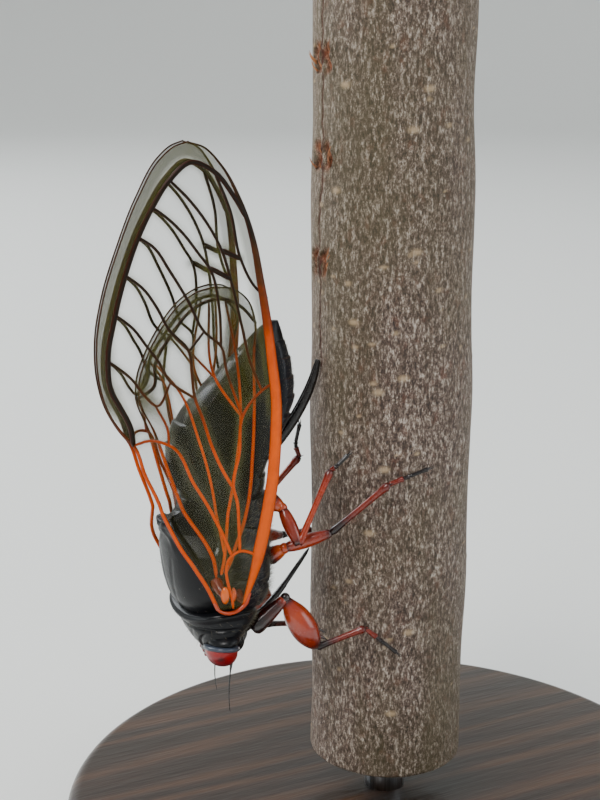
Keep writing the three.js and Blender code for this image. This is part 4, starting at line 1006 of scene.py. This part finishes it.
for where, joints in LEGS.items():
    pair, hand = where.split("_")
    front, hind, s = pair == "front", pair == "hind", 1 if hand == "left" else -1
    hip, ring, knee, ankle, tip = np.array(joints)
    hip = hip + ([0.75, 0.1 * s, 1.15] if front else [0.2, -0.2 * s, 0.5])
    skins = [limb(hip, ring, COXA), egg(ring, (0.4, 0.36, 0.36)),
             limb(ring, knee, FRONT_THIGH if front else THIGH)]
    tones = [along(FRONT_COXA_TONE if front else COXA_TONE), 0.2 if front else 0.85, along(THIGH_TONE)]
    for t, long in THIGH_SPINES if front else []:
        foot = ring + (knee - ring) * t + [0.25, 0.1 * s, -0.55]
        end = foot + np.array([0.45, 0.3 * s, -0.9]) * long
        skins.append(taper([foot, foot + (end - foot) * 0.6 + [-0.05, 0, 0], end], 14, 0.24, 0.016))
        tones.append(np.linspace(0.5, 0.1, 14)[:, None])
    upper = closed("leg_upper_" + where, skins, {"tone": tones})
    upper.data.materials.append(leg_upper)
    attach(upper, "root")
    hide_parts(f"leg_{pair}_coxa_{hand}", f"leg_{pair}_femur_{hand}")
    run, fall = tip - ankle, ankle - knee
    arch = np.array([0.2, 0.1 * s, 0.25]) if hind else np.zeros(3)
    skins, tones = [limb(knee, ankle, SHIN)], [along(HIND_SHIN_TONE if hind else SHIN_TONE)]
    for start, end, r, tone in TOES:
        a, b = (ankle + run * t + arch * np.sin(np.pi * t) for t in (start, end))
        skins.append(limb(a, b, TOE * r, steps=16, sides=14))
        tones.append(tone)
    d = run / np.linalg.norm(run)
    out = np.cross(d, [1.0, 0, 0] if abs(d[0]) < 0.8 else [0, 0, 1.0])
    out /= np.linalg.norm(out)
    for way in (1, -1):
        claw = [tip - d * 0.05, tip + d * 0.22 + out * 0.16 * way, tip + d * 0.42 + out * 0.12 * way]
        skins.append(taper(claw, 10, 0.07, 0.012, 8))
        tones.append(0.05)
    for k, t in enumerate(SHIN_SPINES):
        foot = knee + fall * t
        end = foot + 0.42 * fall / np.linalg.norm(fall) + 0.3 * (-1) ** k * out
        skins.append(taper([foot, (foot + end) / 2, end], 6, 0.08, 0.01, 6))
        tones.append(0.12)
    lower = closed("leg_lower_" + where, skins, {"tone": tones})
    lower.data.materials.append(leg_lower)
    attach(lower, "root")
    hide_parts(f"leg_{pair}_tibia_{hand}", f"leg_{pair}_tarsus_{hand}")

# Hair: short fine pale bristles that grow from the cuticle at the sides of the thorax, round the leg
# roots, on the hoops and behind the head.
HAIR_R, HAIR_SINK, PATCH = 0.011, 0.03, 0.0015
hair, tree, shader = finish("body_hair", Roughness=0.45, Specular_IOR_Level=0.4)
tuft = relief(tree, 1200.0)
tree.links.new(ramp(tree, tuft.outputs["Shade"], [(0.35, "5c5340"), (0.65, "9a917e")]),
               shader.inputs["Base Color"])


def hairs(name, skin, weight, count, long, lean):
    """Three-sided hairs rooted on a skin where weight is high, leaning along lean; each one's patch
    of the OFBake map lies at its root's place on the skin's own rows and columns."""
    rows, cols = skin.shape[:2]
    share = weight[:-1].ravel() / weight[:-1].sum()
    pick = rng.choice(len(share), count, p=share)
    i, j = pick // cols, pick % cols
    root = skin[i, j] * 0.5 + skin[i + 1, (j + 1) % cols] * 0.5
    n = np.cross(skin[i + 1, j] - skin[i, j], skin[i, (j + 1) % cols] - skin[i, j])
    n /= np.maximum(np.linalg.norm(n, axis=1), 1e-9)[:, None]
    n *= np.sign(((root - skin[i].mean(1)) * n).sum(-1))[:, None]
    d = n * 0.55 + np.array(lean) + rng.normal(0, 0.25, (count, 3))
    d /= np.linalg.norm(d, axis=1)[:, None]
    size = long * rng.uniform(0.6, 1.25, count)[:, None]
    u = np.cross(d, [0.3, 0.9, 0.1])
    u /= np.linalg.norm(u, axis=1)[:, None]
    v = np.cross(d, u)
    a = np.arange(3)[:, None] * 2 * np.pi / 3
    foot = (root - n * HAIR_SINK)[:, None] + HAIR_R * (u[:, None] * np.cos(a) + v[:, None] * np.sin(a))
    points = np.concatenate([foot, (root + d * size)[:, None]], 1)
    k = np.arange(count)[:, None, None] * 4
    faces = (np.array([[0, 1, 3], [1, 2, 3], [2, 0, 3], [0, 2, 1]]) + k).reshape(-1, 3)
    home = np.stack([i / rows, j / cols], -1)[:, None] * 0.98 + 0.01
    uv = home + PATCH * np.array([[0, 0], [1, 0], [0.5, 1], [0.5, 0.4]])
    thing = mesh_of(name, on_bark(points.reshape(-1, 3)), [], faces, uv=uv.reshape(-1, 2))
    thing.data.materials.append(hair)
    return thing


z = chest[..., 2]
on_chest = np.clip((8.8 - z) / 2, 0, 1) + 0.02 * (z > 8.8) + 1e-6
x, z = belly[..., 0], belly[..., 2]
on_belly = np.clip((x + 6) / 2, 0, 1) * (0.2 + np.clip((6 - z) / 2, 0, 1))
on_shield = np.clip((8 - shield[..., 2]) / 1.5, 0, 1) + 0.05
coats = [hairs("thorax_hair", chest, on_chest, 2600, 0.5, (-0.6, 0, -0.3)),
         hairs("abdomen_hair", belly, on_belly, 1500, 0.2, (-1.2, 0, -0.1)),
         hairs("pronotum_hair", rolled(shield), on_shield, 900, 0.3, (0.2, 0, -0.4))]
for coat in coats:
    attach(coat, "root")
